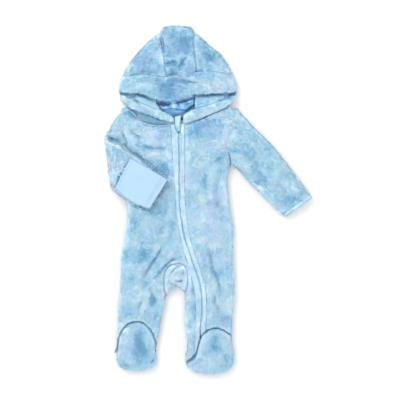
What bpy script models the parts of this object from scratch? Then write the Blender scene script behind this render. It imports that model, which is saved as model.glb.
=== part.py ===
"""A newborn's hooded, footed plush pramsuit, lying flat on its back.

The origin is on the body's centre line, on the surface that the suit lies on.
+Y runs to the hood, +X to the wearer's left sleeve and +Z up. Every table is in
millimetres, and right and left are the wearer's.
"""

import math

import bmesh
import bpy
from mathutils import Vector, geometry
from mathutils.bvhtree import BVHTree

MM = 0.001

# Cloth
PLUSH = 6.0  # backing and pile together
BAND = 9.4  # plush turned double
FACING = 3.2
LINING = 1.5
JERSEY = 1.6
GAP = 0.3  # between pieces at a seam

# Levels
TOP = 15.6  # of the front, lying on the back
MID = TOP / 2  # height of the side seams
EDGE = 7.8  # radius of a folded edge, seen from above
LINING_BASE = PLUSH + GAP
LINING_TOP = LINING_BASE + LINING
BAND_BASE = LINING_TOP + GAP
BRIM_BASE = BAND_BASE + FACING + GAP
ELBOW = 8.1  # radius of the folded sleeve's middle line
FOREARM_MID = MID + 2 * ELBOW
CUFF_LIFT = JERSEY + GAP  # room for the flap under the left cuff
HEM = 8.0
FLAT = math.radians(0.3)  # faces this near to one plane are joined
CUT_HEIGHTS = (-20.0, 60.0)  # from below the suit to above it
ZIP_SLIT = 2.4
TAPE_WIDTH = 22.0
COIL_WIDTH = 1.8

# Outline of the suit: height on the page, then the outer and inner edge of the
# right leg and the inner and outer edge of the left leg. Above the crotch the
# inner edges meet.
CENTRE = -2.0
BODY_ROWS = (
    (216, -96, CENTRE, CENTRE, 98),
    (204, -112, CENTRE, CENTRE, 112),
    (192, -128, CENTRE, CENTRE, 130),
    (176, -136, CENTRE, CENTRE, 138),
    (158, -136, CENTRE, CENTRE, 138),
    (140, -134, CENTRE, CENTRE, 136),
    (122, -128, CENTRE, CENTRE, 130),
    (106, -124, CENTRE, CENTRE, 126),
    (92, -120, CENTRE, CENTRE, 124),
    (79, -112, CENTRE, CENTRE, 116),
    (64, -109, CENTRE, CENTRE, 109),
    (48, -108, CENTRE, CENTRE, 106),
    (32, -108, CENTRE, CENTRE, 107),
    (16, -109, CENTRE, CENTRE, 110),
    (0, -110, CENTRE, CENTRE, 111),
    (-16, -110, CENTRE, CENTRE, 114),
    (-32, -110, CENTRE, CENTRE, 117),
    (-48, -111, CENTRE, CENTRE, 118),
    (-64, -113, CENTRE, CENTRE, 120),
    (-80, -115, CENTRE, CENTRE, 120),
    (-96, -118, CENTRE, CENTRE, 120),
    (-112, -121, CENTRE, CENTRE, 120),
    (-128, -123, CENTRE, CENTRE, 120),
    (-143, -124, CENTRE, CENTRE, 120),
    (-157, -124, CENTRE, CENTRE, 120),
    (-169, -125, CENTRE, CENTRE, 121),
    (-183, -126, CENTRE, CENTRE, 122),
    (-194, -127, -13.5, 8.5, 122),
    (-206, -128, -25.5, 14.5, 122),
    (-220, -129, -29, 15, 121),
    (-238, -130, -32, 15, 119),
    (-256, -131, -35, 15, 118),
    (-274, -132, -38, 15.5, 118),
    (-292, -133, -41.5, 16.5, 118),
    (-310, -134.5, -44, 17, 119),
    (-328, -135.5, -45, 15, 121),
    (-345, -132, -45, 13.5, 122),
)
SEGMENTS = 7  # across each half
# Toes: middle, half width and depth below the last row of the outline
TOES = ((-88.5, 43.0, 24.5), (68.0, 54.0, 31.0))
TOE_TURN = 0.09  # share of the half turn left out at each side of the toes

HOOD_ROWS = (
    (362, -41, 37),
    (346, -60, 57),
    (332, -74, 72),
    (318, -87, 90),
    (304, -99, 101),
    (290, -109, 110),
    (276, -116.5, 117),
    (262, -121, 121.5),
    (246, -125, 125),
    (230, -128.5, 127.5),
    (216, -125, 124),
    (203, -114, 112),
    (188, -104, 104),
    (168, -98, 98),
)
HOOD_SEGMENTS = 10
HOOD_CROWN = (-2.0, 37.0, 15.0)  # middle, half width and rise above the first row

# Seams of the front, seen from above
ZIP = (
    (3, 144), (3, 100), (3, 50), (3.5, 0), (6.5, -32), (11.8, -64), (16.5, -88),
    (23, -106), (31, -130), (38, -150), (44, -168), (48.3, -187), (51, -212),
    (51.4, -236), (50, -262), (47.5, -306),
)
PLACKET_RIGHT = (
    (-17, 168), (-14, 140), (-12, 110), (-9.5, 60), (-6, 10), (-3, -32), (2, -64),
    (7.5, -90), (14, -113), (21.5, -137), (28.6, -163), (34, -187), (37.4, -210),
    (38, -236), (37.5, -270), (36, -306), (36, -340),
)
PLACKET_LEFT = (
    (13.5, 168), (13.5, 100), (14, 50), (15, 0), (18, -32), (23, -64), (27.5, -86),
    (34, -109), (42, -131), (48, -150), (52.5, -165), (57, -184), (60, -209),
    (61, -236), (60, -258), (58, -290),
)
NECK_RIGHT = (
    (-122, 214), (-114, 202), (-102, 194), (-92, 188), (-83, 172), (-69, 166),
    (-54, 163), (-36, 162), (-14, 162), (0, 162), (4, 160),
)
NECK_LEFT = (
    (122, 214), (113, 202), (98, 194), (82, 187.5), (60, 178), (40, 169), (26, 164),
    (12, 161), (4, 160),
)
ARMHOLE_RIGHT = ((-126, 206), (-121, 186), (-115, 142), (-108, 118), (-106, 98))
ARMHOLE_LEFT = ((126, 206), (121, 186), (112, 142), (104, 121), (110, 100))
# Where a cut along an armhole leaves the body, and where it leaves the sleeve
UNDERARM_RIGHT = {
    "body": ((-107, 82), (-109, 74.5), (-112, 69), (-118, 58)),
    "arm": ((-109.4, 82), (-106, 66)),
}
UNDERARM_LEFT = {
    "body": ((111.6, 82), (113.6, 76.5), (118, 72), (128, 63)),
    "arm": ((114, 82), (108, 64)),
}
GUSSET = (
    (-16, -214), (-27, -200), (-30.5, -176), (-28.5, -154), (-16, -140), (0, -135.5),
    (14, -141), (20, -154), (21, -176), (18, -192), (8, -206),
)
UPPER_RIGHT = (
    (-142, -346), (-133, -328), (-127, -294), (-114, -272), (-98, -263), (-84, -261.5),
    (-67.5, -269.5), (-54, -288), (-47, -312), (-45, -330), (-38, -342),
)
UPPER_LEFT = (
    (6, -360), (16.6, -351), (28, -342), (39, -329), (43.5, -309), (49.5, -293),
    (63, -280), (79.5, -275), (98, -279.5), (112, -289), (128, -306),
)
# Seams of the underside
NAPE = (
    (-124, 214), (-112, 201), (-90, 185), (-50, 177), (0, 175), (50, 177), (90, 185),
    (112, 201), (124, 214),
)
HEEL_RIGHT = ((-142, -300), (-110, -292), (-66, -292), (-34, -300))
HEEL_LEFT = ((6, -304), (42, -296), (94, -296), (128, -304))
# Seams of the hood
STRIP_RIGHT = (
    (-42, 384), (-41, 362), (-33, 336), (-30.5, 312), (-29, 284), (-24, 262), (-24, 160),
)
STRIP_LEFT = (
    (37, 384), (36.5, 362), (33, 342), (33.5, 326), (38, 298), (40, 278), (34, 250), (30, 160),
)

# Folds pressed into the front: start, bend, end, half width and depth
FOLDS = (
    ("hip", (2, -124), (-24, -132), (-46, -168), 7, 2.6),
    ("thigh_right", (-27, -92), (-50, -124), (-75, -170), 7, 2.4),
    ("thigh_left", (67, -104), (84, -140), (97, -198), 8, 2.2),
    ("shin_right", (-74, -206), (-82, -226), (-90, -240), 8, 1.8),
    ("shin_left", (74, -210), (84, -232), (82, -250), 9, 1.5),
    ("chest", (-76, 122), (-50, 110), (-30, 113), 8, 2.0),
    ("shoulder", (-106, 158), (-92, 140), (-72, 130), 8, 2.2),
    ("waist_left", (40, -14), (70, -4), (98, -22), 9, 1.6),
    ("side_left", (92, 60), (84, 20), (92, -40), 9, 1.6),
    ("knee_right", (-112, -150), (-100, -190), (-112, -236), 8, 1.6),
)
HOOD_FOLDS = (
    ("crown", (-20, 294), (-6, 296), (8, 291), 7, 2.4),
    ("crown_side", (16, 318), (8, 300), (2, 280), 7, 1.8),
    ("right", (-96, 268), (-70, 278), (-48, 274), 7, 1.8),
    ("left", (76, 306), (92, 296), (104, 280), 7, 1.6),
)

# Left sleeve: its upper and lower edge, from inside the armhole to past the cuff
SLEEVE_LEFT = (
    ((104, 206), (96, 74)),
    ((126, 200), (113, 79)),
    ((141, 182), (128, 66)),
    ((161, 160), (143, 49)),
    ((183, 139), (157, 33)),
    ((203, 118), (172, 19)),
    ((222, 96), (186, 5)),
    ((240, 73), (200.5, -10.5)),
    ((258, 50), (214, -23)),
    ((275, 27), (225, -32)),
    ((302, -9), (244, -52)),
)
CUFF_LEFT = ((297.5, 13), (223.5, -42.5))  # the cuff's end, drawn past both edges

# Right sleeve: upper and lower edge of the upper arm, the turn and the forearm
UPPER_ARM = (
    ((-98, 208), (-92, 74)),
    ((-119, 195), (-108, 78)),
    ((-132, 180), (-117, 62)),
    ((-141, 168), (-124, 48)),
)
FOLD_LINE = ((-143.6, 139.5), (-128.4, 24.0))  # axis of the turn, seen from above
TURN_UPPER = (157, 126)  # where the upper edge meets the axis, before and after
TURN_LOWER = (38, 8)
TURN_STEPS = 6
FOREARM = (
    ((-127, 119.5), (-113, -1)),
    ((-108, 108), (-102, -6)),
    ((-88, 94), (-90, -11)),
    ((-68, 78), (-79, -14.5)),
    ((-47, 61), (-68, -17.5)),
    ((-26, 46), (-61, -19.5)),
    ((-8, 32), (-47, -31)),
)
CUFF_RIGHT = ((-11, 58), (-69, -33))
ARM_AROUND = 6  # points on each flat side of a sleeve's ring

# Mitten flaps: upper and lower corner at the cuff, then at the free edge
FLAP_RIGHT = (((-22.5, 42.5), (-60.0, -17.5)), ((-101, 89), (-133, 27)))
FLAP_LEFT = (((285.5, 7), (231.5, -32)), ((226, 72), (170, 32)))
FLAP_BELLY = 7.0  # how far the lower edge of the one on the right sleeve swells out
FLAP_ROWS = 6
FLAP_ACROSS = (0.0, 0.04, 0.12, 0.35, 0.65, 0.88, 0.96, 1.0)

# Band round the face: inner and outer edge, from the corner to the neck
EDGE_RIGHT = (
    ((-114, 227), (-128, 227)),
    ((-102, 220), (-124, 213)),
    ((-84, 213), (-111, 201)),
    ((-66, 205), (-87, 190)),
    ((-49, 198.5), (-62, 182)),
    ((-32, 191.5), (-38, 172)),
    ((-19, 184.5), (-22, 167)),
    ((-8.6, 179), (-9.6, 164.6)),
)
EDGE_LEFT = (
    ((113, 226), (127, 225)),
    ((102, 219), (122.5, 212)),
    ((85, 213), (109, 202)),
    ((66, 206), (84, 190)),
    ((47, 201), (61, 180.5)),
    ((33, 197), (41, 171.8)),
    ((22, 190.5), (25, 166.5)),
    ((8.6, 183), (9.2, 165)),
)
FACING_RIGHT = (
    ((-92, 232), (-92, 219)),
    ((-74, 234), (-74, 210)),
    ((-58, 232), (-58, 203.3)),
    ((-49, 222), (-44, 197.9)),
    ((-46, 209), (-35, 194.4)),
)
FACING_LEFT = (
    ((100, 236), (100, 220)),
    ((82, 237), (82, 213.5)),
    ((64, 237), (64, 207)),
    ((46, 236), (46, 202.2)),
    ((37, 228), (35, 199.4)),
)
NECK_STRIP = (
    ((-89, 186), (-87, 183)),
    ((-80, 184), (-79, 171.5)),
    ((-66, 181), (-65, 165.8)),
    ((-52, 175), (-51, 163.8)),
    ((-38, 169), (-37, 163)),
    ((-24, 166), (-23, 163)),
)
NECK_STRIP_TOP = 12.4
EDGE_TOP = BAND_BASE + BAND
BRIM = (
    ((-121, 265.5), (-129.5, 232)),
    ((-104, 267), (-110, 229)),
    ((-88, 268.5), (-93, 226.5)),
    ((-70, 270.5), (-73, 224)),
    ((-52, 267.5), (-55, 217)),
    ((-34, 264), (-38, 212)),
    ((-17, 265.5), (-21, 210.5)),
    ((0, 270.5), (-2, 212.5)),
    ((18, 271), (17, 218)),
    ((37, 275), (36, 223.5)),
    ((56, 276.4), (56, 225.5)),
    ((75, 275.8), (76, 226.5)),
    ((96, 273.4), (98, 228)),
    ((120.5, 270.4), (128.5, 230.5)),
)
BRIM_ACROSS = (0.0, 0.16, 0.42, 0.68, 0.86, 1.0)
BRIM_RISE = (16.4, 18.6, 20.4, 21.2, 21.0, 20.6)  # its top, from seam to lip
DROOP = 16.0  # length over which the brim comes down to the side seam
LINING_BOX = ((-66, 54), (172, 262))
GUARD = (
    ((-7.2, 180), (6.6, 183)),
    ((-6.8, 170), (5.8, 170.5)),
    ((-5.6, 158), (5.0, 158)),
    ((0.6, 146), (3.8, 146)),
)
GUARD_BASE, GUARD_TOP = 13.0, 15.4
THROAT = (
    (1.8, 138), (4.2, 138), (6.4, 158), (7.6, 168), (8, 214), (-9, 214), (-8.6, 168), (-7.2, 158),
)
SLIDER = (((-1.2, 153), (4.6, 153)), ((-1.2, 149), (4.6, 149)), ((0.4, 144), (4.3, 144)))
SLIDER_BASE, SLIDER_TOP = 9.9, 12.6
TAPE_BASE, TAPE_TOP = 8.1, 9.3
COIL_BASE, COIL_TOP = 9.5, 13.4
TAPE_END = -266.0
COIL_END = -284.0


def material(name, colour, roughness=0.9):
    """A plain finish for one piece."""
    finish = bpy.data.materials.new(name)
    finish.use_nodes = True
    shader = finish.node_tree.nodes["Principled BSDF"]
    shader.inputs["Base Color"].default_value = (*colour, 1)
    shader.inputs["Roughness"].default_value = roughness
    shader.inputs["Metallic"].default_value = 0
    return finish


PLUSH_BLUE = (0.42, 0.68, 0.86)
PALE_BLUE = (0.58, 0.80, 0.95)
LINING_BLUE = (0.33, 0.55, 0.86)
JERSEY_BLUE = (0.56, 0.79, 0.97)
ZIP_BLUE = (0.45, 0.66, 0.80)


def smooth(points, spacing=12.0):
    """Points about this far apart on a curve through the given ones."""
    ends = (
        tuple(2 * a - b for a, b in zip(points[0], points[1])),
        tuple(2 * a - b for a, b in zip(points[-1], points[-2])),
    )
    chain = [Vector(p) for p in (ends[0], *points, ends[1])]
    curve = []
    for before, start, end, after in zip(chain, chain[1:], chain[2:], chain[3:]):
        steps = max(1, round((end - start).length / spacing))
        for k in range(steps):
            t = k / steps
            curve.append(
                0.5
                * (
                    2 * start
                    + (end - before) * t
                    + (2 * before - 5 * start + 4 * end - after) * t**2
                    + (3 * start - before - 3 * end + after) * t**3
                )
            )
    return curve + [chain[-2]]


def sheet(rows):
    """An open surface of quads through rows of points, in millimetres."""
    bm = bmesh.new()
    bmesh.ops.create_grid(bm, x_segments=len(rows[0]) - 1, y_segments=len(rows) - 1, size=1)
    bm.verts.ensure_lookup_table()
    for vert, point in zip(bm.verts, (p for row in rows for p in row)):
        vert.co = Vector(point) * MM
    bm.normal_update()
    return bm


def turn_to(bm, way):
    """Makes a surface face up, or down if way is negative."""
    if sum(f.normal.z * f.calc_area() for f in bm.faces) * way < 0:
        bmesh.ops.reverse_faces(bm, faces=bm.faces)
    bm.normal_update()


def placed(name, bm, finish=None):
    """Makes an object of the mesh, in the suit's collection."""
    mesh = bpy.data.meshes.new(name)
    bmesh.ops.triangulate(bm, faces=[f for f in bm.faces if len(f.verts) > 4])
    bm.to_mesh(mesh)
    bm.free()
    piece = bpy.data.objects.new(name, mesh)
    suit.objects.link(piece)
    if finish:
        mesh.materials.append(finish)
    mesh.shade_smooth()
    return piece


def thicken(piece, thickness=PLUSH):
    """Gives an outer surface its wall, inwards."""
    solid = piece.modifiers.new("wall", "SOLIDIFY")
    solid.thickness = thickness * MM
    solid.offset = -1


def evaluated(piece):
    """The piece's mesh with its modifiers, as a bmesh; the piece is removed."""
    graph = bpy.context.evaluated_depsgraph_get()
    graph.update()
    bm = bmesh.new()
    bm.from_mesh(piece.evaluated_get(graph).to_mesh())
    bm.transform(piece.matrix_world)
    bpy.data.objects.remove(piece)
    return bm


def cut(piece, cutter):
    """Takes the cutter out of the piece."""
    boolean = piece.modifiers.new("cut", "BOOLEAN")
    boolean.operation = "DIFFERENCE"
    boolean.object = cutter
    cutter.hide_render = True
    cutter.display_type = "WIRE"
    suit.objects.unlink(cutter)
    cutters.objects.link(cutter)


def curtain(name, points, width=GAP, heights=CUT_HEIGHTS):
    """An upright wall along a seam, seen from above, that parts two pieces."""
    line = smooth(points)
    wall = placed(name, sheet([[(*p, z) for p in line] for z in heights]))
    solid = wall.modifiers.new("width", "SOLIDIFY")
    solid.thickness = width * MM
    solid.offset = 0
    return wall


def prism(name, outline, low, high):
    """An upright block with this outline, seen from above."""
    bm = bmesh.new()
    ring = [bm.verts.new(Vector((*p, low)) * MM) for p in outline]
    base = bmesh.ops.contextual_create(bm, geom=ring)["faces"]
    top = bmesh.ops.extrude_face_region(bm, geom=base)["geom"]
    rise = Vector((0, 0, (high - low) * MM))
    bmesh.ops.translate(bm, verts=[g for g in top if isinstance(g, bmesh.types.BMVert)], vec=rise)
    bmesh.ops.recalc_face_normals(bm, faces=bm.faces)
    return placed(name, bm)


def trough(x, y, folds):
    """How deep the folds press the cloth in at a place."""
    depth = 0.0
    here = Vector((x, y))
    for _, start, bend, end, width, deepest in folds:
        line = geometry.interpolate_bezier(
            (*start, 0), (*(Vector(start).lerp(Vector(bend), 2 / 3)), 0),
            (*(Vector(end).lerp(Vector(bend), 2 / 3)), 0), (*end, 0), 9,
        )
        for a, b in zip(line, line[1:]):
            near, share = geometry.intersect_point_line(here, a.to_2d(), b.to_2d())
            near = a.to_2d().lerp(b.to_2d(), min(1, max(0, share)))
            depth = max(depth, deepest * math.exp(-(((here - near).length / width) ** 2)))
    return depth


def half_pillow(rows, parting, level, seam, folds=(), lip=2.4, rims=(2.3, 5.5)):
    """A flat panel, with its wall, whose edge turns to the height of its side seam.

    rows hold the points of the panel seen from above, and the faces in the column
    parting are left out. The edge is a quarter turn that ends in an upright lip.
    Without a lip, both surfaces stay open there for a mirrored half.
    """
    bm = sheet([[(*p, level) for p in row] for row in rows])
    if parting is not None:
        columns = len(rows[0]) - 1
        gone = [f for n, f in enumerate(bm.faces) if n % columns == parting]
        bmesh.ops.delete(bm, geom=gone, context="FACES")
        bmesh.ops.remove_doubles(bm, verts=bm.verts, dist=1e-6)
    turn_to(bm, level - seam)
    for vert in bm.verts:
        vert.co.z -= trough(vert.co.x / MM, vert.co.y / MM, folds) * MM
    flat = list(bm.faces)
    for width in rims:
        bmesh.ops.inset_region(
            bm, faces=flat, thickness=width * MM, use_boundary=True, use_even_offset=True
        )
    rings = [{v for v in bm.verts if v.is_boundary}]
    for _ in rims:
        near = {e.other_vert(v) for v in rings[-1] for e in v.link_edges}
        rings.append(near.difference(*rings))
    inner = {v: v.co - Vector((0, 0, math.copysign(PLUSH, level - seam) * MM)) for v in bm.verts}
    thinner = (abs(level - seam) - PLUSH) / abs(level - seam)
    offset = 0.0
    for ring, inward, width in zip(rings, rings[1:], rims):
        share = max(math.sqrt(1 - (1 - offset / EDGE) ** 2), lip / EDGE)
        for vert in ring:
            across = next(e.other_vert(vert) for e in vert.link_edges if e.other_vert(vert) in inward)
            step = (across.co - vert.co).xy.to_3d() / width * PLUSH * (1 - offset / EDGE)
            inner[vert] = vert.co + step
            inner[vert].z = (seam + (level - seam) * share * thinner) * MM
            vert.co.z = (seam + (level - seam) * share) * MM
        offset += width
    for vert in rings[-1]:
        vert.co.z = level * MM
        inner[vert].z = (level - math.copysign(PLUSH, level - seam)) * MM
    if lip:
        made = bmesh.ops.extrude_edge_only(bm, edges=[e for e in bm.edges if e.is_boundary])["geom"]
        for vert in [g for g in made if isinstance(g, bmesh.types.BMVert)]:
            above = next(e.other_vert(vert) for e in vert.link_edges if e.other_vert(vert) in rings[0])
            vert.co.z = seam * MM
            inner[vert] = inner[above].xy.to_3d()
            inner[vert].z = seam * MM
    add_second_surface(bm, inner, walls=bool(lip))
    return bm


def add_second_surface(bm, place, walls=True):
    """Copies every face to the places given for its points, joined at the edges."""
    places = [place[vert] for vert in bm.verts]
    number = bm.verts.layers.int.new("number")
    for n, vert in enumerate(bm.verts):
        vert[number] = n
    made = bmesh.ops.extrude_face_region(bm, geom=bm.faces[:], use_keep_orig=True)["geom"]
    made = {g for g in made if isinstance(g, bmesh.types.BMVert)}
    for vert in made:
        vert.co = places[vert[number]]
    if not walls:
        joining = [f for f in bm.faces if 0 < sum(v in made for v in f.verts) < len(f.verts)]
        bmesh.ops.delete(bm, geom=joining, context="FACES_ONLY")
        loose = [e for e in bm.edges if not e.link_faces]
        bmesh.ops.delete(bm, geom=loose, context="EDGES")
        bmesh.ops.reverse_faces(bm, faces=bm.faces)
    else:
        bmesh.ops.recalc_face_normals(bm, faces=bm.faces)


def between(start, end, share):
    return tuple(a + (b - a) * share for a, b in zip(start, end))


def spread(start, end, segments):
    """Points evenly spaced from start to end."""
    return [between(start, end, k / segments) for k in range(segments + 1)]


def toe_row(middle, half_width, depth, base, segments):
    """The rounded end of a foot, from its outer to its inner side."""
    turns = (TOE_TURN + (1 - 2 * TOE_TURN) * k / segments for k in range(segments + 1))
    return [
        (middle - half_width * math.cos(math.pi * t), base - depth * math.sin(math.pi * t) ** 0.75)
        for t in turns
    ]


def body_rows(segments):
    """The suit's outline, from the neck to the toes, as rows of points."""
    rows = [
        spread((a, y), (b, y), segments) + spread((c, y), (d, y), segments)
        for y, a, b, c, d in BODY_ROWS
    ]
    base = BODY_ROWS[-1][0]
    rows.append([p for toe in TOES for p in toe_row(*toe, base, segments)])
    return rows


def named_pieces(master, seams, probes, finishes):
    """Cuts a shell along its seams and keeps the pieces under the named places."""
    for seam in seams:
        cut(master, seam)
    bm = evaluated(master)
    bm.faces.ensure_lookup_table()
    part_of = {}
    for face in bm.faces:
        if face.index in part_of:
            continue
        stack, label = [face], len(part_of)
        part_of[face.index] = label
        while stack:
            for edge in stack.pop().edges:
                for other in edge.link_faces:
                    if other.index not in part_of:
                        part_of[other.index] = label
                        stack.append(other)
    tree = BVHTree.FromBMesh(bm)
    for name, (x, y) in probes.items():
        hit = tree.ray_cast(Vector((x, y, 90)) * MM, Vector((0, 0, -1)))[2]
        own = bm.copy()
        gone = [f for f in own.faces if part_of[f.index] != part_of[hit]]
        bmesh.ops.delete(own, geom=gone, context="FACES")
        bmesh.ops.dissolve_limit(own, angle_limit=FLAT, verts=own.verts, edges=own.edges)
        placed(name, own, finishes.get(name) or finishes["plush"])
    bm.free()


def slab(name, rows, base, top, finish, round_off=0.0, plain_sides=()):
    """A closed piece on the rows' plan, between two heights, with rounded rims.

    base and top are heights, or functions of a row's and a point's number. The rims
    of the sides named in plain_sides, such as the start of every row, stay sharp.
    """
    def height(level, k, j):
        return level(k, j) if callable(level) else level

    bm = sheet([
        [(*p, height(base, k, j)) for j, p in enumerate(row)] for k, row in enumerate(rows)
    ])
    raised = {}
    for n, vert in enumerate(bm.verts):
        raised[vert] = vert.co.xy.to_3d()
        raised[vert].z = height(top, *divmod(n, len(rows[0]))) * MM
    add_second_surface(bm, raised)
    weight = bm.edges.layers.float.new("bevel_weight_edge")
    sides = {
        "first": rows[0], "last": rows[-1],
        "start": [row[0] for row in rows], "end": [row[-1] for row in rows],
    }
    for edge in bm.edges:
        tilts = sorted(abs(f.normal.z) for f in edge.link_faces)
        if tilts[0] < 0.1 and tilts[1] > 0.5:
            middle = ((edge.verts[0].co + edge.verts[1].co) / 2 / MM).xy
            side = min(sides, key=lambda s: distance_to(middle, sides[s]))
            edge[weight] = float(side not in plain_sides)
    piece = placed(name, bm, finish)
    if round_off:
        bevel = piece.modifiers.new("round", "BEVEL")
        bevel.width = round_off * MM
        bevel.segments = 2
        bevel.limit_method = "WEIGHT"
    return piece


def distance_to(point, line):
    """How far a place is from a line of places."""
    best = math.inf
    for a, b in zip(line, line[1:]):
        a, b = Vector(a), Vector(b)
        share = geometry.intersect_point_line(point, a, b)[1]
        best = min(best, (point - a.lerp(b, min(1, max(0, share)))).length)
    return best


def make_front():
    """Fronts, plackets, gusset and the uppers of the feet, cut from one shell."""
    shell = placed("front", half_pillow(body_rows(SEGMENTS), SEGMENTS, TOP, MID + GAP / 2, FOLDS))
    seams = [
        curtain("zip_seam", ZIP, ZIP_SLIT),
        curtain("placket_right_seam", PLACKET_RIGHT),
        curtain("placket_left_seam", PLACKET_LEFT),
        curtain("neck_right_seam", NECK_RIGHT),
        curtain("neck_left_seam", NECK_LEFT),
        curtain("armhole_right_seam", ARMHOLE_RIGHT + UNDERARM_RIGHT["body"]),
        curtain("armhole_left_seam", ARMHOLE_LEFT + UNDERARM_LEFT["body"]),
        curtain("gusset_seam", GUSSET),
        curtain("upper_right_seam", UPPER_RIGHT),
        curtain("upper_left_seam", UPPER_LEFT),
        prism("throat", THROAT, *CUT_HEIGHTS),
    ]
    probes = {
        "front_right": (-70, 60), "front_left": (70, 60), "placket_right": (-4, 50),
        "placket_left": (9, 50), "gusset": (-4, -160), "foot_upper_right": (-88, -320),
        "foot_upper_left": (80, -330),
    }
    pale = material("placket_plush", PALE_BLUE)
    finishes = {"plush": plush, "placket_right": pale, "placket_left": pale}
    named_pieces(shell, seams, probes, finishes)


def make_back():
    """Back and soles, cut from one shell."""
    shell = placed("back_shell", half_pillow(body_rows(4), 4, 0, MID - GAP / 2))
    seams = [
        curtain("nape_seam", NAPE),
        curtain("heel_right_seam", HEEL_RIGHT),
        curtain("heel_left_seam", HEEL_LEFT),
        curtain("armhole_right_under", ARMHOLE_RIGHT + UNDERARM_RIGHT["body"]),
        curtain("armhole_left_under", ARMHOLE_LEFT + UNDERARM_LEFT["body"]),
    ]
    probes = {"back": (0, 50), "foot_sole_right": (-88, -330), "foot_sole_left": (70, -330)}
    named_pieces(shell, seams, probes, {"plush": plush})


def pillow(name, rows, folds=()):
    """A flat bag of two layers with folded edges, its middle at its origin."""
    bag = placed(name, half_pillow(rows, None, TOP - MID, 0, folds, lip=0))
    bag.location.z = MID * MM
    mirror = bag.modifiers.new("under", "MIRROR")
    mirror.use_axis = (False, False, True)
    mirror.merge_threshold = 0.00001
    return bag


def make_hood():
    """Centre strip and sides, each folded over the edge to the underside."""
    rows = [spread((a, y), (b, y), HOOD_SEGMENTS) for y, a, b in HOOD_ROWS]
    middle, half_width, rise = HOOD_CROWN
    first = HOOD_ROWS[0][0]
    crown = [
        (middle - half_width * math.cos(math.pi * t), first + rise * math.sin(math.pi * t) ** 0.6)
        for t in (0.03 + 0.94 * k / HOOD_SEGMENTS for k in range(HOOD_SEGMENTS + 1))
    ]
    bag = pillow("hood", [crown, *rows], HOOD_FOLDS)
    seam = [(x, y + GAP) for (x, y), _ in BRIM]
    mouth = [(-160, seam[0][1]), *seam, (160, seam[-1][1]), (160, 140), (-160, 140)]
    seams = [
        prism("mouth", mouth, MID + GAP / 2, CUT_HEIGHTS[1]),
        curtain("nape_hood", NAPE),
        curtain("strip_right_seam", STRIP_RIGHT),
        curtain("strip_left_seam", STRIP_LEFT),
    ]
    probes = {"hood_centre": (0, 330), "hood_side_right": (-80, 296), "hood_side_left": (80, 296)}
    named_pieces(bag, seams, probes, {"plush": plush})


def make_face_band():
    """Brim, lower stretches, facing, lining and what shows beside the neck."""
    def brim_shift(k):
        reach = min(k, len(BRIM) - 1 - k) / (len(BRIM) - 1) * 240
        return (BRIM_BASE - MID - GAP / 2) * max(0.0, 1 - reach / DROOP)

    rows = [[between(a, b, share) for share in BRIM_ACROSS] for a, b in BRIM]
    slab(
        "hood_brim", rows, lambda k, j: BRIM_BASE - brim_shift(k),
        lambda k, j: BRIM_RISE[j] - brim_shift(k), plush, 3.6, ("start",),
    )
    for side, table in (("right", EDGE_RIGHT), ("left", EDGE_LEFT)):
        rows = [[between(a, b, share) for share in (0, 0.3, 0.7, 1)] for a, b in table]
        slab(f"hood_edge_{side}", rows, BAND_BASE, EDGE_TOP, plush, 3.6)
    for side, table in (("right", FACING_RIGHT), ("left", FACING_LEFT)):
        rows = [spread(a, (b[0], b[1] + 1), 2) for a, b in table]
        slab(f"hood_facing_{side}", rows, BAND_BASE, BAND_BASE + FACING, plush)
    rows = [spread(a, b, 2) for a, b in NECK_STRIP]
    slab("hood_neck_right", rows, BAND_BASE, NECK_STRIP_TOP, plush)
    (west, east), (south, north) = LINING_BOX
    rows = [spread((west, y), (east, y), 6) for y, _ in spread((south, 0), (north, 0), 4)]
    slab("hood_lining", rows, LINING_BASE, LINING_TOP, material("lining", LINING_BLUE, 0.45))


def ribbon(points, width, end):
    """Rows of points across a band of this width, on a line down to this height."""
    line = [p for p in smooth(points) if p.y > end]
    rows = []
    for before, here, after in zip([line[0], *line], line, [*line[1:], line[-1]]):
        side = (after - before).normalized().orthogonal() * width / 2
        rows.append([tuple(here + side), tuple(here - side)])
    return rows


def make_zip():
    """Tape, coil, slider and guard."""
    finish = material("zip", ZIP_BLUE, 0.6)
    slab("zip_tape", ribbon(((2.5, 163.3), *ZIP), TAPE_WIDTH, TAPE_END), TAPE_BASE, TAPE_TOP, finish)
    slab("zip_coil", ribbon(ZIP, COIL_WIDTH, COIL_END), COIL_BASE, COIL_TOP, finish)
    slab("zip_slider", [list(row) for row in SLIDER], SLIDER_BASE, SLIDER_TOP, finish)
    guard = material("guard_plush", PALE_BLUE)
    slab("zip_guard", [spread(*row, 2) for row in GUARD], GUARD_BASE, GUARD_TOP, guard)


def tube(name, stations):
    """A flattened tube with its wall, through stations of two edges and an up side."""
    outer = [ring(*station, 0) for station in stations]
    inner = [ring(*station, PLUSH) for station in stations]
    bm = sheet([*outer, *reversed(inner), outer[0]])
    bmesh.ops.remove_doubles(bm, verts=bm.verts, dist=1e-6)
    bmesh.ops.recalc_face_normals(bm, faces=bm.faces)
    return placed(name, bm)


def make_left_sleeve():
    """The sleeve that lies straight, and its hem."""
    up = Vector((0, 0, 1))
    arm = tube("arm", [((*u, MID), (*l, MID), up) for u, l in SLEEVE_LEFT])
    seams = [
        curtain("armhole_left_arm", ARMHOLE_LEFT + UNDERARM_LEFT["arm"]),
        curtain("cuff_left_end", CUFF_LEFT),
        curtain("cuff_left_seam", hem_of(CUFF_LEFT, (-1, 1))),
    ]
    probes = {"sleeve_left": (180, 90), "cuff_left": (258, -11.5)}
    named_pieces(arm, seams, probes, {"plush": plush, "cuff_left": hem_cloth})
    for name in probes:
        for vert in bpy.data.objects[name].data.vertices:
            vert.co.z += CUFF_LIFT * MM * cuff_share(vert.co)


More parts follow.
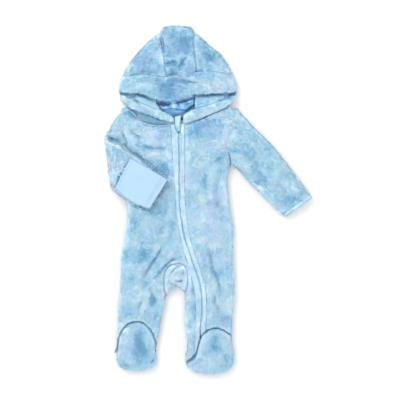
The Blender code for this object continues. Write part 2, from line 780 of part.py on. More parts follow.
def cuff_share(place):
    """0 near the armhole, 1 over the flap under the left cuff."""
    along = (place.x / MM - 140) / 30
    return min(1.0, max(0.0, along)) ** 2 * (3 - 2 * min(1.0, max(0.0, along)))


def hem_of(cuff, inwards):
    """The seam of a cuff's hem, a hem's width in from its end."""
    a, b = (Vector(p) for p in cuff)
    across = (b - a).normalized().orthogonal() * HEM
    if across.dot(Vector(inwards)) < 0:
        across = -across
    return (tuple(a + across), tuple(b + across))


def ring(upper, lower, over, inset):
    """A flattened ring between a sleeve's two edges, thick along over."""
    across = (Vector(lower) - Vector(upper)).normalized()
    half = MID - inset
    first, last = Vector(upper) + across * inset, Vector(lower) - across * inset
    points = []
    for start, end, side in ((first, last, 1), (last, first, -1)):
        away = across * side
        for k in range(ARM_AROUND):
            share = k / (ARM_AROUND - 1)
            reach = half + ((end - start).length - 2 * half) * share
            points.append(start + away * reach + over * side * half)
        for turn in (math.pi / 4, math.pi / 2, 3 * math.pi / 4):
            back = half * (1 - math.sin(turn))
            points.append(end - away * back + over * side * half * math.cos(turn))
    return [tuple(p) for p in (*points, points[0])]


def folded_arm():
    """Stations of the right sleeve, from the armhole over the folded elbow to the cuff."""
    up = Vector((0, 0, 1))
    top, foot = (Vector((*p, 0)) for p in FOLD_LINE)
    axis = (top - foot).normalized()
    out = Vector((-axis.y, axis.x, 0))
    out = out if out.x < 0 else -out
    stations = [((*u, MID), (*l, MID), up) for u, l in UPPER_ARM]
    for k in range(TURN_STEPS + 1):
        share = k / TURN_STEPS
        turn = math.pi * share
        centre = out * ELBOW * math.sin(turn) + up * (MID + ELBOW * (1 - math.cos(turn)))
        ends = []
        for before, after in (TURN_UPPER, TURN_LOWER):
            along = before + (after - before) * share
            ends.append(foot + axis * (along - foot.y) / axis.y + centre)
        stations.append((*ends, up * math.cos(turn) - out * math.sin(turn)))
    return stations + [((*u, FOREARM_MID), (*l, FOREARM_MID), -up) for u, l in FOREARM]


def make_right_sleeve():
    """The folded sleeve and its hem."""
    arm = tube("arm", folded_arm())
    armhole = ARMHOLE_RIGHT + UNDERARM_RIGHT["arm"]
    seams = [
        curtain("armhole_right_arm", armhole, heights=(CUT_HEIGHTS[0], TOP + GAP / 2)),
        curtain("cuff_right_end", CUFF_RIGHT),
        curtain("cuff_right_seam", hem_of(CUFF_RIGHT, (-1, 1))),
    ]
    probes = {"sleeve_right": (-120, 60), "cuff_right": (-44, 17)}
    named_pieces(arm, seams, probes, {"plush": plush, "cuff_right": hem_cloth})


def flap(name, corners, edges, middle, way, belly=0.0):
    """A jersey flap made from the points of its sleeve's surface, moved out."""
    (cuff_upper, cuff_lower), (free_upper, free_lower) = corners
    rows = []
    for k in range(FLAP_ROWS + 1):
        a = between(cuff_upper, free_upper, k / FLAP_ROWS)
        b = Vector(between(cuff_lower, free_lower, k / FLAP_ROWS))
        b += (b - Vector(a)).normalized() * belly * math.sin(math.pi * k / FLAP_ROWS)
        row = []
        for share in FLAP_ACROSS:
            place = Vector(between(a, b, share))
            inside = min(EDGE, min(distance_to(place, line) for line in edges))
            row.append((*place, middle + way * MID * math.sqrt(1 - (1 - inside / EDGE) ** 2)))
        rows.append(row)
    bm = sheet(rows)
    turn_to(bm, way)
    for vert, normal in [(v, v.normal.copy()) for v in bm.verts]:
        vert.co += normal * (3 * GAP + JERSEY) * MM
    thicken(placed(name, bm, jersey), JERSEY)


def make_flaps():
    """Fold-over mitten flaps, on top of the right cuff and under the left one."""
    edges = [[ends[side] for ends in FOREARM] for side in (0, 1)]
    flap("mitten_right", FLAP_RIGHT, edges, FOREARM_MID, 1, FLAP_BELLY)
    edges = [[ends[side] for ends in SLEEVE_LEFT] for side in (0, 1)]
    flap("mitten_left", FLAP_LEFT, edges, MID + CUFF_LIFT, -1)


for old in list(bpy.data.objects):
    bpy.data.objects.remove(old)
suit = bpy.data.collections.new("fleece_pramsuit")
cutters = bpy.data.collections.new("cutters")
bpy.context.scene.collection.children.link(suit)
bpy.context.scene.collection.children.link(cutters)
plush = material("plush", PLUSH_BLUE)
hem_cloth = material("hem_plush", PALE_BLUE)
jersey = material("jersey", JERSEY_BLUE, 0.8)

make_front()
make_back()
make_hood()
make_face_band()
make_zip()
make_left_sleeve()
make_right_sleeve()
make_flaps()
for cutter in list(cutters.objects):
    bpy.data.objects.remove(cutter)
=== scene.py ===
"""The looks of a newborn's hooded, footed plush pramsuit, laid flat on its back.

Every cloth solid of the frame gets a skin in its own form: evened out, sunk by the
height of the pile, creased and drawn in at its seams. A pile of tufts grows on what
shows of it. The mitten flaps, lining, zip and stitching are made beside it.

Sizes in the tables are millimetres in the frame: +Y to the hood, +X to the wearer's
left sleeve and +Z up. Right and left are the wearer's.
"""

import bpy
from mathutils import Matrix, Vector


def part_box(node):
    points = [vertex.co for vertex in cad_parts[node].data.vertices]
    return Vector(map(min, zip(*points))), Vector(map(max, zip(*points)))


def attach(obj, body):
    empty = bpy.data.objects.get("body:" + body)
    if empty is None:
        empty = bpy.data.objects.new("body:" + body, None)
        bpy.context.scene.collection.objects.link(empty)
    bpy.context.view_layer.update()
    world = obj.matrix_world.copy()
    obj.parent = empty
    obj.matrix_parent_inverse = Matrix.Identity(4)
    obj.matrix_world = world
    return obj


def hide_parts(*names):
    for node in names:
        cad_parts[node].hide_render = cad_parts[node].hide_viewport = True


bl_info = {
    "name": "Plush pramsuit",
    "version": (1, 0, 0),
    "blender": (4, 5, 0),
    "location": "3D View > Sidebar > Pramsuit",
    "description": "Dresses the solids of a hooded, footed plush pramsuit",
    "category": "Object",
}

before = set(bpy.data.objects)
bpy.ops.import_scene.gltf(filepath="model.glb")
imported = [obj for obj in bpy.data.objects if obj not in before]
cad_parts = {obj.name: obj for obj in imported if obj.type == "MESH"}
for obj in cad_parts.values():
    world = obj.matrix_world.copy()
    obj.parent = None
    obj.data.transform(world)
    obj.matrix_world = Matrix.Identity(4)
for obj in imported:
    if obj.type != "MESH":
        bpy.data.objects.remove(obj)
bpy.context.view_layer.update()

import math
from collections import namedtuple

import bmesh
import bpy
import numpy as np
from bpy.props import FloatProperty, FloatVectorProperty, IntProperty, PointerProperty
from bpy.types import Operator, Panel, PropertyGroup
from mathutils import Vector, noise
from mathutils.bvhtree import BVHTree
from mathutils.kdtree import KDTree

MM = 0.001

# How each kind of cloth is worked: voxel of its skin, the share of its faces kept, times
# it is softened, length of its pile, how far the skin sinks under the pile, how much
# deeper at seams, the tufts' width, lean in degrees and number against the usual, and
# how much highlight is painted on its edges where they turn down.
Cloth = namedtuple("Cloth", "voxel keep soft pile sink dip width lean thick rim")
CLOTHS = {
    "plush": Cloth(2.2, 0.7, 3, 6.2, 3.1, 2.2, 1.25, 52, 1.0, 0.8),
    "bag": Cloth(1.4, 0.28, 3, 6.2, 3.1, 2.2, 1.25, 52, 1.0, 0.5),
    "under": Cloth(4.0, 1.0, 3, 6.2, 3.0, 0.5, 1.25, 52, 1.0, 0.8),
    "band": Cloth(2.0, 0.8, 2, 5.8, 3.0, 2.0, 1.2, 50, 1.1, 0.7),
    "combed": Cloth(1.2, 0.4, 1, 4.6, 0.9, 0.4, 1.0, 62, 1.4, 0.2),
    "hem": Cloth(1.3, 0.5, 2, 4.4, 1.6, 0.8, 1.0, 60, 1.4, 0.4),
    "facing": Cloth(1.3, 0.7, 2, 3.6, 1.2, 0.4, 0.9, 58, 1.5, 0.2),
    "guard": Cloth(0.7, 0.35, 1, 2.6, 0.8, 0.2, 0.8, 66, 2.0, 0.0),
}

# How strongly seams between two pieces draw them in, which also sets the shade and highlight painted at
# them; all others do so fully
SOFT_SEAMS = {
    0.0: (
        ("front_right", "sleeve_right"), ("back", "sleeve_right"), ("cuff_right", "mitten_right"),
        ("cuff_left", "mitten_left"), ("mitten_left", "sleeve_left"), ("cuff_right", "front_right"),
        ("front_right", "mitten_right"), ("placket_right", "zip_tape"), ("placket_left", "zip_tape"),
        ("front_right", "zip_tape"), ("front_left", "zip_tape"), ("hood_facing_right", "hood_lining"),
        ("hood_facing_left", "hood_lining"), ("hood_facing_right", "hood_side_right"),
        ("hood_facing_left", "hood_side_left"),
    ),
    0.1: (
        ("front_left", "sleeve_left"), ("back", "sleeve_left"), ("cuff_right", "sleeve_right"),
        ("cuff_left", "sleeve_left"), ("front_right", "placket_right"), ("placket_right", "zip_coil"),
        ("placket_left", "zip_coil"), ("placket_left", "placket_right"),
        ("foot_sole_right", "foot_upper_right"), ("foot_sole_left", "foot_upper_left"),
        ("hood_edge_right", "hood_facing_right"), ("hood_edge_left", "hood_facing_left"),
    ),
    0.15: (
        ("back", "front_right"), ("back", "front_left"), ("back", "gusset"),
    ),
    0.2: (
        ("hood_brim", "hood_side_left"), ("hood_edge_right", "hood_side_right"),
        ("hood_edge_left", "hood_side_left"),
    ),
    0.3: (
        ("mitten_right", "sleeve_right"), ("hood_brim", "hood_side_right"),
        ("hood_edge_right", "hood_lining"), ("hood_edge_left", "hood_lining"),
        ("hood_edge_right", "zip_guard"),
    ),
    0.4: (("front_left", "placket_left"),),
    0.45: (("hood_brim", "hood_centre"),),
    0.6: (("hood_edge_right", "hood_neck_right"),),
    0.86: (
        ("hood_centre", "hood_side_left"), ("front_left", "gusset"),
    ),
    0.88: (("hood_centre", "hood_side_right"),),
    0.9: (
        ("front_right", "gusset"), ("hood_edge_left", "zip_guard"),
    ),
}
SEAM_PULLS = {pair: pull for pull, pairs in SOFT_SEAMS.items() for pair in pairs}

# How much lighter a shade's nap is, and its share of the painted shade colour, which darkens the strip
# under the face band and, a little, the facings inside the hood
SHADES = {
    "body": (0.06, 0.0),
    "hood": (-0.06, 0.0),
    "crown": (-0.18, 0.0),
    "light": (0.1, 0.0),
    "pale": (0.14, 0.0),
    "inner": (0.0, 0.06),
    "guard": (-0.2, 0.0),
    "shade": (-0.1, 0.6),
}

# Light and shade painted in patches: where the nap lies brushed up and catches the light,
# or down and shows deep, and shadows of folds, the brim, the band and the sleeve: middle,
# half length, half width, turn in degrees and tone.
LIGHT_AND_SHADE_PATCHES = (
    (13, 341, 19, 17, 0, -0.8), (-73, 295, 26, 22, 0, -0.45), (-35, 312, 22, 6, 90, 0.6),
    (-9, 310, 13, 9, 0, 0.5), (-17, 295, 11, 4, 0, -0.8), (8, 291, 13, 4, 90, -0.6),
    (62, 321, 17, 11, -40, -0.5), (87, 295, 22, 17, 0, 0.3), (-22, 234, 30, 17, 0, -1.5),
    (75, 247, 43, 17, 0, 0.8), (-72, 245, 22, 11, 0, 0.6), (-85, 273, 22, 5, 0, 0.4),
    (-100, 210, 17, 9, -30, 0.7), (-54, 186, 17, 6, -20, 0.3), (48, 188, 22, 9, 25, 0.2),
    (100, 219, 13, 6, 10, -0.6), (-72, 182, 22, 9, -15, -0.6), (75, 178, 17, 9, 25, -0.5),
    (-65, 116, 19, 5, -5, -0.8), (-31, 111, 6, 5, 0, -0.6), (-87, 136, 17, 5, -45, -0.5),
    (-54, 98, 17, 8, 20, 0.6), (-34, 73, 13, 13, 0, -0.7), (-70, 143, 17, 9, 0, 0.4),
    (-141, 154, 11, 9, 90, -0.4), (-139, 133, 15, 6, -15, -1.0), (-116, 158, 17, 6, 105, 0.5),
    (-136, 89, 17, 11, 90, -0.2), (-41, -22, 17, 17, 0, -0.3), (-92, -18, 17, 13, 0, -0.2),
    (-10, 104, 30, 11, 90, 0.5), (20, 104, 22, 6, 90, 0.6), (51, 157, 30, 19, 15, -1.3),
    (86, 92, 15, 15, 0, -0.4), (61, 38, 19, 6, 90, -0.5), (82, -7, 22, 6, 90, -0.5),
    (47, 71, 13, 11, 90, 0.3), (49, 13, 22, 13, 90, 0.4), (106, 30, 43, 9, 95, 0.6),
    (106, 157, 17, 9, 90, 0.4), (127, 112, 13, 6, -30, -0.8), (158, 92, 22, 6, -45, -0.4),
    (127, 168, 13, 13, 0, 0.4), (189, 67, 26, 17, -45, -0.1), (162, 55, 34, 6, -45, 0.6),
    (240, 34, 13, 13, 0, 0.6), (240, -3, 19, 9, 35, -0.8), (-109, -33, 32, 6, 85, 0.5),
    (-57, -39, 22, 6, 85, -0.5), (-13, -52, 9, 6, 90, -0.6), (-32, -68, 15, 15, 0, 0.5),
    (-80, -117, 26, 17, 0, -0.9), (31, -31, 11, 11, 0, -0.5), (95, -46, 19, 9, 110, -0.5),
    (73, -69, 22, 17, 0, 0.3), (73, -96, 17, 6, 0, 0.6), (70, -114, 13, 9, -30, -0.5),
    (92, -156, 22, 6, 105, -0.5), (-4, -165, 20, 20, 0, 0.7), (-74, -204, 17, 17, 0, 0.6),
    (-52, -214, 13, 8, 70, -0.8), (-44, -247, 9, 6, 90, -0.6), (-109, -222, 17, 6, 70, -0.3),
    (-82, -316, 30, 19, 90, -1.0), (35, -232, 26, 6, 90, -0.6), (79, -309, 17, 15, 90, -0.8),
    (108, -316, 15, 9, 90, 0.5), (77, -366, 22, 6, 0, -0.3), (100, 219, 20, 6, 14, -1.3),
    (-99, 187, 14, 7, -50, -1.3), (-20, 66, 34, 8, -36, -0.7), (-30, 8, 26, 7, 58, -0.5),
    (-78, -24, 20, 6, -14, -0.6), (-55, -215, 12, 9, 60, -0.6), (-20, 262, 22, 14, -10, -0.5),
    (15, 70, 70, 7, 89, 0.6), (-6, 60, 60, 5, 91, 0.3),
)

# Creases pressed into what lies on top, with shade painted along their bottoms; some rows
# are mostly painted shadow lines: start, bend, end, half width, depth and how much shade is
# painted at the bottom of the crease, 0 to 1.
CREASES_AND_PAINTED_SHADE = {
    "front_right": (
        # Painted shade on the body below the face band at the shoulder
        ((-112, 197), (-101, 186), (-86, 176), 14.0, 1.0, 0.3),
        ((2, -122), (-21, -135), (-52, -169), 3.5, 2.6, 0.75),
        ((-32, -98), (-52, -131), (-74, -165), 4.0, 2.2, 0.5),
        ((-74, -206), (-82, -226), (-90, -240), 5.0, 1.6, 0.2),
        ((-104, 156), (-92, 142), (-74, 133), 5.0, 1.8, 0.25),
        ((-72, 118), (-52, 112), (-26, 114), 5.0, 2.0, 0.35),
        ((-118, -110), (-104, -122), (-92, -140), 6.0, 1.2, 0.0),
        ((-20, -40), (-38, -60), (-44, -86), 7.0, 1.2, 0.0),
        ((-96, -30), (-88, -60), (-94, -84), 8.0, 1.2, 0.0),
        ((-66, -180), (-58, -200), (-62, -226), 6.0, 1.4, 0.15),
        ((-120, -250), (-100, -246), (-84, -254), 5.0, 1.2, 0.0),
        ((20, -250), (28, -262), (26, -280), 4.0, 1.0, 0.0),
        ((31, -182), (32, -194), (31, -208), 4.0, 1.2, 0.2),
        ((-60, 60), (-44, 40), (-30, 36), 7.0, 1.4, 0.0),
        # Painted shadows along the folded sleeve's upper edge and round the mitten flap
        ((-108, 112.5), (-86, 97), (-60, 77), 4.5, 1.4, 0.7),
        ((-72, 86), (-45, 64.5), (-17, 43), 5.5, 1.8, 0.95),
        ((-20, 43), (-39.5, 11), (-60, -21), 5.0, 1.4, 0.9),
        ((-98, -10), (-78, -18), (-54, -23), 4.5, 1.2, 0.85),
        ((-56, -205), (-52, -214), (-56, -224), 5.0, 1.2, 0.3),
    ),
    "front_left": (
        ((66, -108), (75, -140), (94, -196), 5.0, 2.2, 0.3),
        ((74, -210), (84, -232), (82, -250), 5.0, 1.4, 0.15),
        ((76, -198), (78, -210), (76, -220), 4.0, 1.2, 0.25),
        ((40, -14), (70, -6), (98, -20), 7.0, 1.4, 0.0),
        ((92, 66), (84, 24), (90, -34), 7.0, 1.4, 0.0),
        ((62, 60), (58, 30), (62, 4), 6.0, 1.3, 0.0),
        ((28, 128), (52, 140), (84, 136), 7.0, 1.2, 0.0),
        ((102, 96), (90, 88), (78, 92), 5.0, 1.5, 0.1),
        ((38, -60), (58, -72), (66, -66), 6.0, 1.1, 0.0),
    ),
    "gusset": (
        ((-2, -141), (-8, -148), (-15, -158), 2.4, 1.8, 0.6),
        ((-22, -176), (-13, -179), (-5, -181), 2.4, 1.6, 0.55),
        ((-5, -171), (3, -176), (12, -168), 2.6, 2.4, 0.95),
        ((10, -146), (12, -154), (10, -162), 3.0, 1.4, 0.45),
        ((-10, -139), (0, -141), (8, -143), 2.4, 0.9, 0.3),
    ),
    "sleeve_left": (
        ((112, 104), (134, 104), (158, 84), 6.0, 2.0, 0.15),
        ((120, 122), (146, 116), (170, 96), 7.0, 1.4, 0.0),
        ((150, 64), (176, 48), (196, 22), 6.0, 1.4, 0.0),
        ((222, 20), (240, 2), (262, 8), 6.0, 1.2, 0.0),
        ((122, 186), (132, 172), (128, 150), 7.0, 1.2, 0.0),
    ),
    "sleeve_right": (
        ((-154, 138), (-140, 131), (-124, 124), 4.0, 1.8, 0.8),
        ((-124, 124), (-108, 114), (-92, 103), 4.0, 1.0, 0.8),
        ((-124, 150), (-114, 136), (-108, 124), 5.0, 1.6, 0.35),
        # Painted shadow under the mitten flap's free edge
        ((-101, 91.5), (-118.6, 58.5), (-136, 25.5), 4.0, 1.0, 0.95),
        ((-140, 112), (-128, 100), (-122, 80), 7.0, 1.2, 0.0),
        ((-138, 60), (-128, 46), (-126, 28), 6.0, 1.4, 0.0),
    ),
    "hood_centre": (
        ((-28, 293), (-16, 296), (-4, 298), 4.0, 3.2, 0.6),
        ((16, 312), (9, 297), (0, 279), 5.0, 2.2, 0.4),
        ((-24, 268), (-14, 272), (0, 275), 4.0, 2.0, 0.4),
        ((-26, 330), (-14, 318), (0, 322), 6.0, 1.4, 0.0),
        ((-38.5, 358), (-32, 337), (-29, 314), 3.0, 1.0, 0.7),
    ),
    "hood_side_right": (
        # Painted shadow under the brim's lip
        ((-124, 232), (-107, 227), (-86, 222), 9.0, 0.4, 1.0),
        ((-98, 268), (-72, 278), (-48, 274), 5.0, 1.8, 0.15),
        ((-60, 330), (-54, 306), (-58, 284), 8.0, 1.2, 0.0),
        ((-44, 300), (-40, 288), (-46, 276), 5.0, 1.2, 0.0),
        ((-41.5, 358), (-35, 337), (-32, 314), 3.0, 1.0, 0.7),
    ),
    "hood_side_left": (
        # Painted shadow under the brim's lip
        ((86, 226.5), (106, 227.5), (130, 229.5), 9.0, 0.4, 1.0),
        ((56, 316), (68, 308), (80, 297), 5.0, 1.8, 0.3),
        ((46, 300), (52, 288), (48, 278), 5.0, 1.4, 0.0),
        ((60, 340), (66, 320), (62, 300), 8.0, 1.0, 0.0),
    ),
    "hood_brim": (
        ((2, 258), (24, 254), (48, 252), 4.0, 2.4, 0.55),
        ((10, 268), (24, 270), (40, 272), 3.5, 1.2, 0.45),
        ((-96, 252), (-70, 262), (-40, 262), 5.0, 1.2, 0.0),
        ((-40, 246), (-22, 254), (2, 262), 6.0, 1.2, 0.0),
    ),
    "hood_edge_right": (
        # Painted shadow in the corner under the brim's lip
        ((-101, 228), (-92, 217), (-81, 207), 5.5, 1.6, 1.0),
    ),
    "hood_facing_right": (
        # Painted shadow under the brim's lip and in its corner
        ((-110, 228), (-78, 223.5), (-46, 210), 7.0, 0.8, 1.0),
        ((-101, 228), (-92, 217), (-81, 207), 5.5, 0.6, 1.0),
    ),
    "hood_facing_left": (
        # Painted shadow under the brim's lip
        ((28, 221.5), (72, 225.5), (122, 228.5), 7.0, 0.6, 1.0),
    ),
    "hood_edge_left": (
        # Painted shadow under the brim's lip
        ((98, 227), (112, 228), (126, 229), 6.0, 1.0, 0.9),
    ),
    "foot_upper_right": (
        ((-80, -276), (-82, -300), (-84, -330), 9.0, 1.6, 0.0),
        ((-118, -346), (-112, -352), (-100, -356), 4.0, 1.2, 0.0),
        ((-52, -340), (-54, -346), (-58, -349), 2.5, 1.6, 0.9),
    ),
    "foot_upper_left": (
        ((30, -352), (46, -344), (58, -350), 5.0, 1.4, 0.0),
        ((78, -288), (80, -306), (76, -326), 9.0, 1.4, 0.0),
        ((100, -330), (104, -344), (98, -356), 5.0, 1.2, 0.0),
        ((40, -328), (36, -338), (22, -349), 3.0, 1.4, 0.9),
    ),
}

# The zip's line, down the front
ZIP = (
    (3, 144), (3, 100), (3, 50), (3.5, 0), (6.5, -32), (11.8, -64), (16.5, -88),
    (23, -106), (31, -130), (38, -150), (44, -168), (48.3, -187), (51, -212),
    (51.4, -236), (50, -262), (47.5, -306),
)

# Teeth: how far apart, how far off the zip's line, under the solid's top, half as long,
# half as wide and how much higher than wide
TOOTH_PITCH = 1.5
TOOTH_SHIFT = 0.42
TOOTH_DEPTH = 1.0
TOOTH_HALF_LENGTH = 0.72
TOOTH_RADIUS = 0.52
TOOTH_HEIGHT = 1.3

# The slider's plates and pull: how thick, and the bevel of their edges
PLATE = 0.9
BEVEL = 0.3

# Stitches: how far apart, the share of that which half of one takes, the thread's
# radius, and how high it lies over a skin of jersey and of combed plush
STITCH_PITCH = 3.0
STITCH_SHARE = 0.36
THREAD_RADIUS = 0.3
STITCH_HEIGHTS = {"jersey": 0.25, "pale_plush": 1.1}

# A bar's rings: where each is along it, from -1 to 1, and how wide
BAR_RINGS = ((-1.0, 0.45), (-0.75, 1.0), (0.75, 1.0), (1.0, 0.45))
BAR_SIDES = 6

# The jersey: voxel of its skin, the groove of a hem's stitches, how far it swells and
# sinks, and how wide a column of its knit is
JERSEY_VOXEL = 0.9
GROOVE_WIDTH = 0.9
GROOVE_DEPTH = 0.35
JERSEY_SWELL = 0.35
JERSEY_COLUMN = 0.9

# Lines of stitches on the pieces that have them
STITCHES = {
    "placket_right": (
        ((-1.2, 140), (-0.6, 100), (-0.4, 50), (0.2, 0), (3.0, -32), (8.4, -64), (13, -88),
         (19.6, -107), (27.6, -131), (34.6, -151), (40.6, -169), (44.8, -188), (47.4, -212),
         (47.6, -236), (46.4, -262)),
        ((-12.6, 150), (-9.8, 108), (-7.4, 60), (-4, 11), (-1, -30), (4, -62), (9.5, -88),
         (16, -112), (23.4, -136), (30.6, -162), (36, -187), (39.4, -210), (40, -236),
         (39.5, -270)),
    ),
    "placket_left": (
        ((7.0, 136), (6.8, 100), (6.6, 50), (7.2, 0), (10.4, -32), (15.6, -64), (20.4, -88),
         (27, -106), (35, -130), (41.6, -149), (47.4, -167), (51.8, -187), (54.6, -212),
         (55, -236), (54, -262)),
    ),
    "mitten_right": (
        ((-31.5, 44.5), (-66.5, -12.5)),
        ((-35.5, 47), (-70.2, -10.2)),
        ((-98, 84), (-127.5, 28.5)),
    ),
}

# The seam of the lining with the neck, the folds gathered along it, and the light and
# shade painted on the satin: light on its facets, shade in its folds and under the brim
LINING_SEAM = ((40, 212), (35, 203), (29, 197.5), (21, 194.3), (11, 193.8), (0, 195),
               (-8, 196.8), (-15, 197.4), (-24, 196), (-34, 193.8), (-46, 200))
LINING_FOLDS = (
    ((-17, 212), (-19, 206), (-23, 200), 1.5, 2.0, 0.3),
    ((-3, 214), (0, 207), (4, 199.5), 1.5, 2.2, 0.4),
    ((9, 217), (16, 214), (22, 208), 1.8, 1.6, 0.3),
    ((32, 213), (24, 208), (14, 204), 2.4, 1.4, 0.0),
    ((-40, 205), (-34, 203), (-28, 200), 2.2, 1.6, 0.2),
    ((24, 190), (6, 187.5), (-16, 190.5), 2.6, 1.2, 0.0),
    # Painted shadow of the brim's lip on the satin
    ((-52, 210), (-34, 205.5), (-12, 206.5), 3.5, 0.6, 0.9),
    ((-14, 206.5), (12, 212), (40, 220), 3.5, 0.6, 0.9),
)
LINING_LIGHT_AND_SHADE = (
    (-31, 207, 10, 4.5, -20, -1.1), (-26, 199, 7, 3, -15, 0.6), (-9, 205, 9, 5, 88, 1.1),
    (18, 207, 13, 6, -30, -0.15), (25, 212, 7, 2.5, 20, 0.8), (9, 203, 6, 5, 0, 0.5),
    (26, 198.5, 13, 3, 38, -1.4), (35, 212, 11, 1.6, 86, -1.2), (-42, 203, 13, 2.2, -52, -1.0),
    (-2, 190, 14, 2.2, -3, 0.7), (-2, 182, 12, 3, 0, -0.6), (0, 174, 14, 4, 0, -1.8),
)

# The lining: faces across and along, how far it lies under its solid's top, how thick
# it is, and how deep its seam lies with the swelling beside it
LINING_FACES = (110, 82)
LINING_DEPTH = 0.6
LINING_WALL = 0.5
LINING_SEAM_DEPTH = 0.9
LINING_SEAM_SWELL = 0.5

# The inner edge of the band below the face, to which the facing rolls up
ROLLED = {
    "hood_facing_right": ((-114, 227), (-102, 220), (-84, 213), (-66, 205), (-49, 198.5), (-32, 191.5)),
    "hood_facing_left": ((113, 226), (102, 219), (85, 213), (66, 206), (47, 201), (33, 197)),
}
# How far a facing's edge rises to its band and moves to it, each with the width of the
# strip that does so
ROLL_RISE = 5.5
ROLL_RISE_WIDTH = 9.0
ROLL_PULL = 6.0
ROLL_PULL_WIDTH = 6.0

# A crease, against its half width: how wide its line of painted shade is and where its lips stand;
# against its depth: how high they are; and how far from it, in mm, the nap leans away
LINE_SHARE = 0.45
LIP_PLACE = 2.2
LIP_HEIGHT = 0.22
LEAN_REACH = 4.5

# A skin that keeps a smaller share of its faces than this has its edges split where they
# are longer than this
FEW_FACES = 0.3
LONG_EDGE = 6

# Where a look out of a skin starts, for other pieces and for its own solid, which it
# stands off, and within what reach the floor ends it
OTHERS_START = 0.1
OWN_START = 1.7
FLOOR_REACH = 3

# Between which shares of open sight a skin comes to count as shown and its pile grows
# full, and how much shade is painted at a seam's bottom
SKIN_SHOWS = (0.05, 0.4)
PILE_SHOWS = (0.12, 0.5)
SEAM_PAINTED_SHADE = 0.85

# Between which upward parts of its normal a place comes to face up, to count as not
# facing down, and, past an edge, to be on top again
FACING_UP = (0.1, 0.5)
NOT_DOWN = (-0.4, 0.2)
TURNING_DOWN = (0.25, 0.85)

# The painted highlight on the nap beside a seam, where the pile turns up, and the painted
# shade in each mm of a crease's depth; and how far the nap leans to a seam and out of a crease
SEAM_PAINTED_HIGHLIGHT = 0.5
CREASE_PAINTED_SHADE = 0.3
SEAM_LEAN = 1.6
CREASE_LEAN = 2.5

# The waves of a skin's unevenness in metres, and how far skins and tips stay off the floor
UNEVEN_WAVE = 0.032
SKIN_FLOOR = 0.2
TIP_FLOOR = 0.5

# The swirls and the smaller ripples in which the nap turns: waves in metres, and how far
# a ripple turns it in radians
SWIRL_WAVE = 0.035
RIPPLE_WAVE = 0.009
RIPPLE = 0.5

# How far a row of stitches parts the pile to each side
PARTING = 0.6

# Tufts: the spread of their lean and splay in radians, their lengths and radii against
# the usual, how much shorter they are in a dark crease, how deep they are rooted, how
# round they are shaded, and how their tone varies from tuft to tuft and lock to lock
LEAN_SPREAD = 0.16
SPLAY_SPREAD = 0.28
TUFT_LENGTHS = (0.7, 1.15)
TUFT_RADII = (0.4, 0.6)
SHORTER = 0.4
ROOT_DEPTH = 0.4
ROUNDNESS = 0.45
TUFT_TONES = 0.08
LOCK_TONES = 0.16

# Waves of the nap in metres, and how much each one counts
NAP_WAVES = ((0.036, 1.1), (0.014, 0.55), (0.005, 0.14))

# What the colours are multiplied by at the tufts' roots, where shade is painted, and on the
# backing's fibres
ROOT_PAINTED_SHADE = (0.74, 0.82, 0.90)
BACKING_DEEP = (0.66, 0.75, 0.85)
BACKING_LIGHT = (0.88, 0.93, 0.97)

# The stage in metres: the floor, the soft light's place and size, and the height on the
# suit at which the view is as wide as it says; and the camera's sensor in mm
FLOOR_SIZE = 40
FLOOR_LEVEL = -0.0007
KEY_PLACE = (-1.1, 1.3, 1.5)
KEY_SIZE = 1.1
VIEW_LEVEL = 0.01
SENSOR = 36


# ---------------------------------------------------------------- settings


def length(name, description, default):
    """A length that a user may change."""
    return FloatProperty(
        name=name, description=description, default=default, unit="LENGTH", precision=4,
    )


def colour(name, description, default):
    """A colour that a user may change."""
    return FloatVectorProperty(
        name=name, description=description, default=default, size=3, subtype="COLOR",
        min=0, max=1,
    )


class PramsuitCloth(PropertyGroup):
    """Sizes of the pile and the skin under it."""

    pile_share: FloatProperty(
        name="Pile", description="Length of the pile, against the usual one", default=1.0,
        min=0.2, max=2, subtype="FACTOR",
    )
    density: FloatProperty(
        name="Tufts", description="Tufts on each square centimetre of plush", default=71,
        min=5, max=200,
    )
    sight: length("Sight", "How far a point must see to count as shown", 0.009)
    seam_width: length("Seam width", "How far a seam draws the plush in", 0.006)
    unevenness: length("Unevenness", "How far the plush swells and sinks by itself", 0.0008)
    swirl: FloatProperty(
        name="Swirl", description="How far the nap turns from its way down", default=1.3,
        subtype="ANGLE",
    )
    lock: FloatProperty(name="Lock", description="Tufts in a lock", default=22, min=1)
    gather: FloatProperty(
        name="Gather", description="How far a lock's tufts come together", default=0.35,
        min=0, max=1, subtype="FACTOR",
    )
    seed: IntProperty(name="Seed", description="Start of the random draws", default=7)


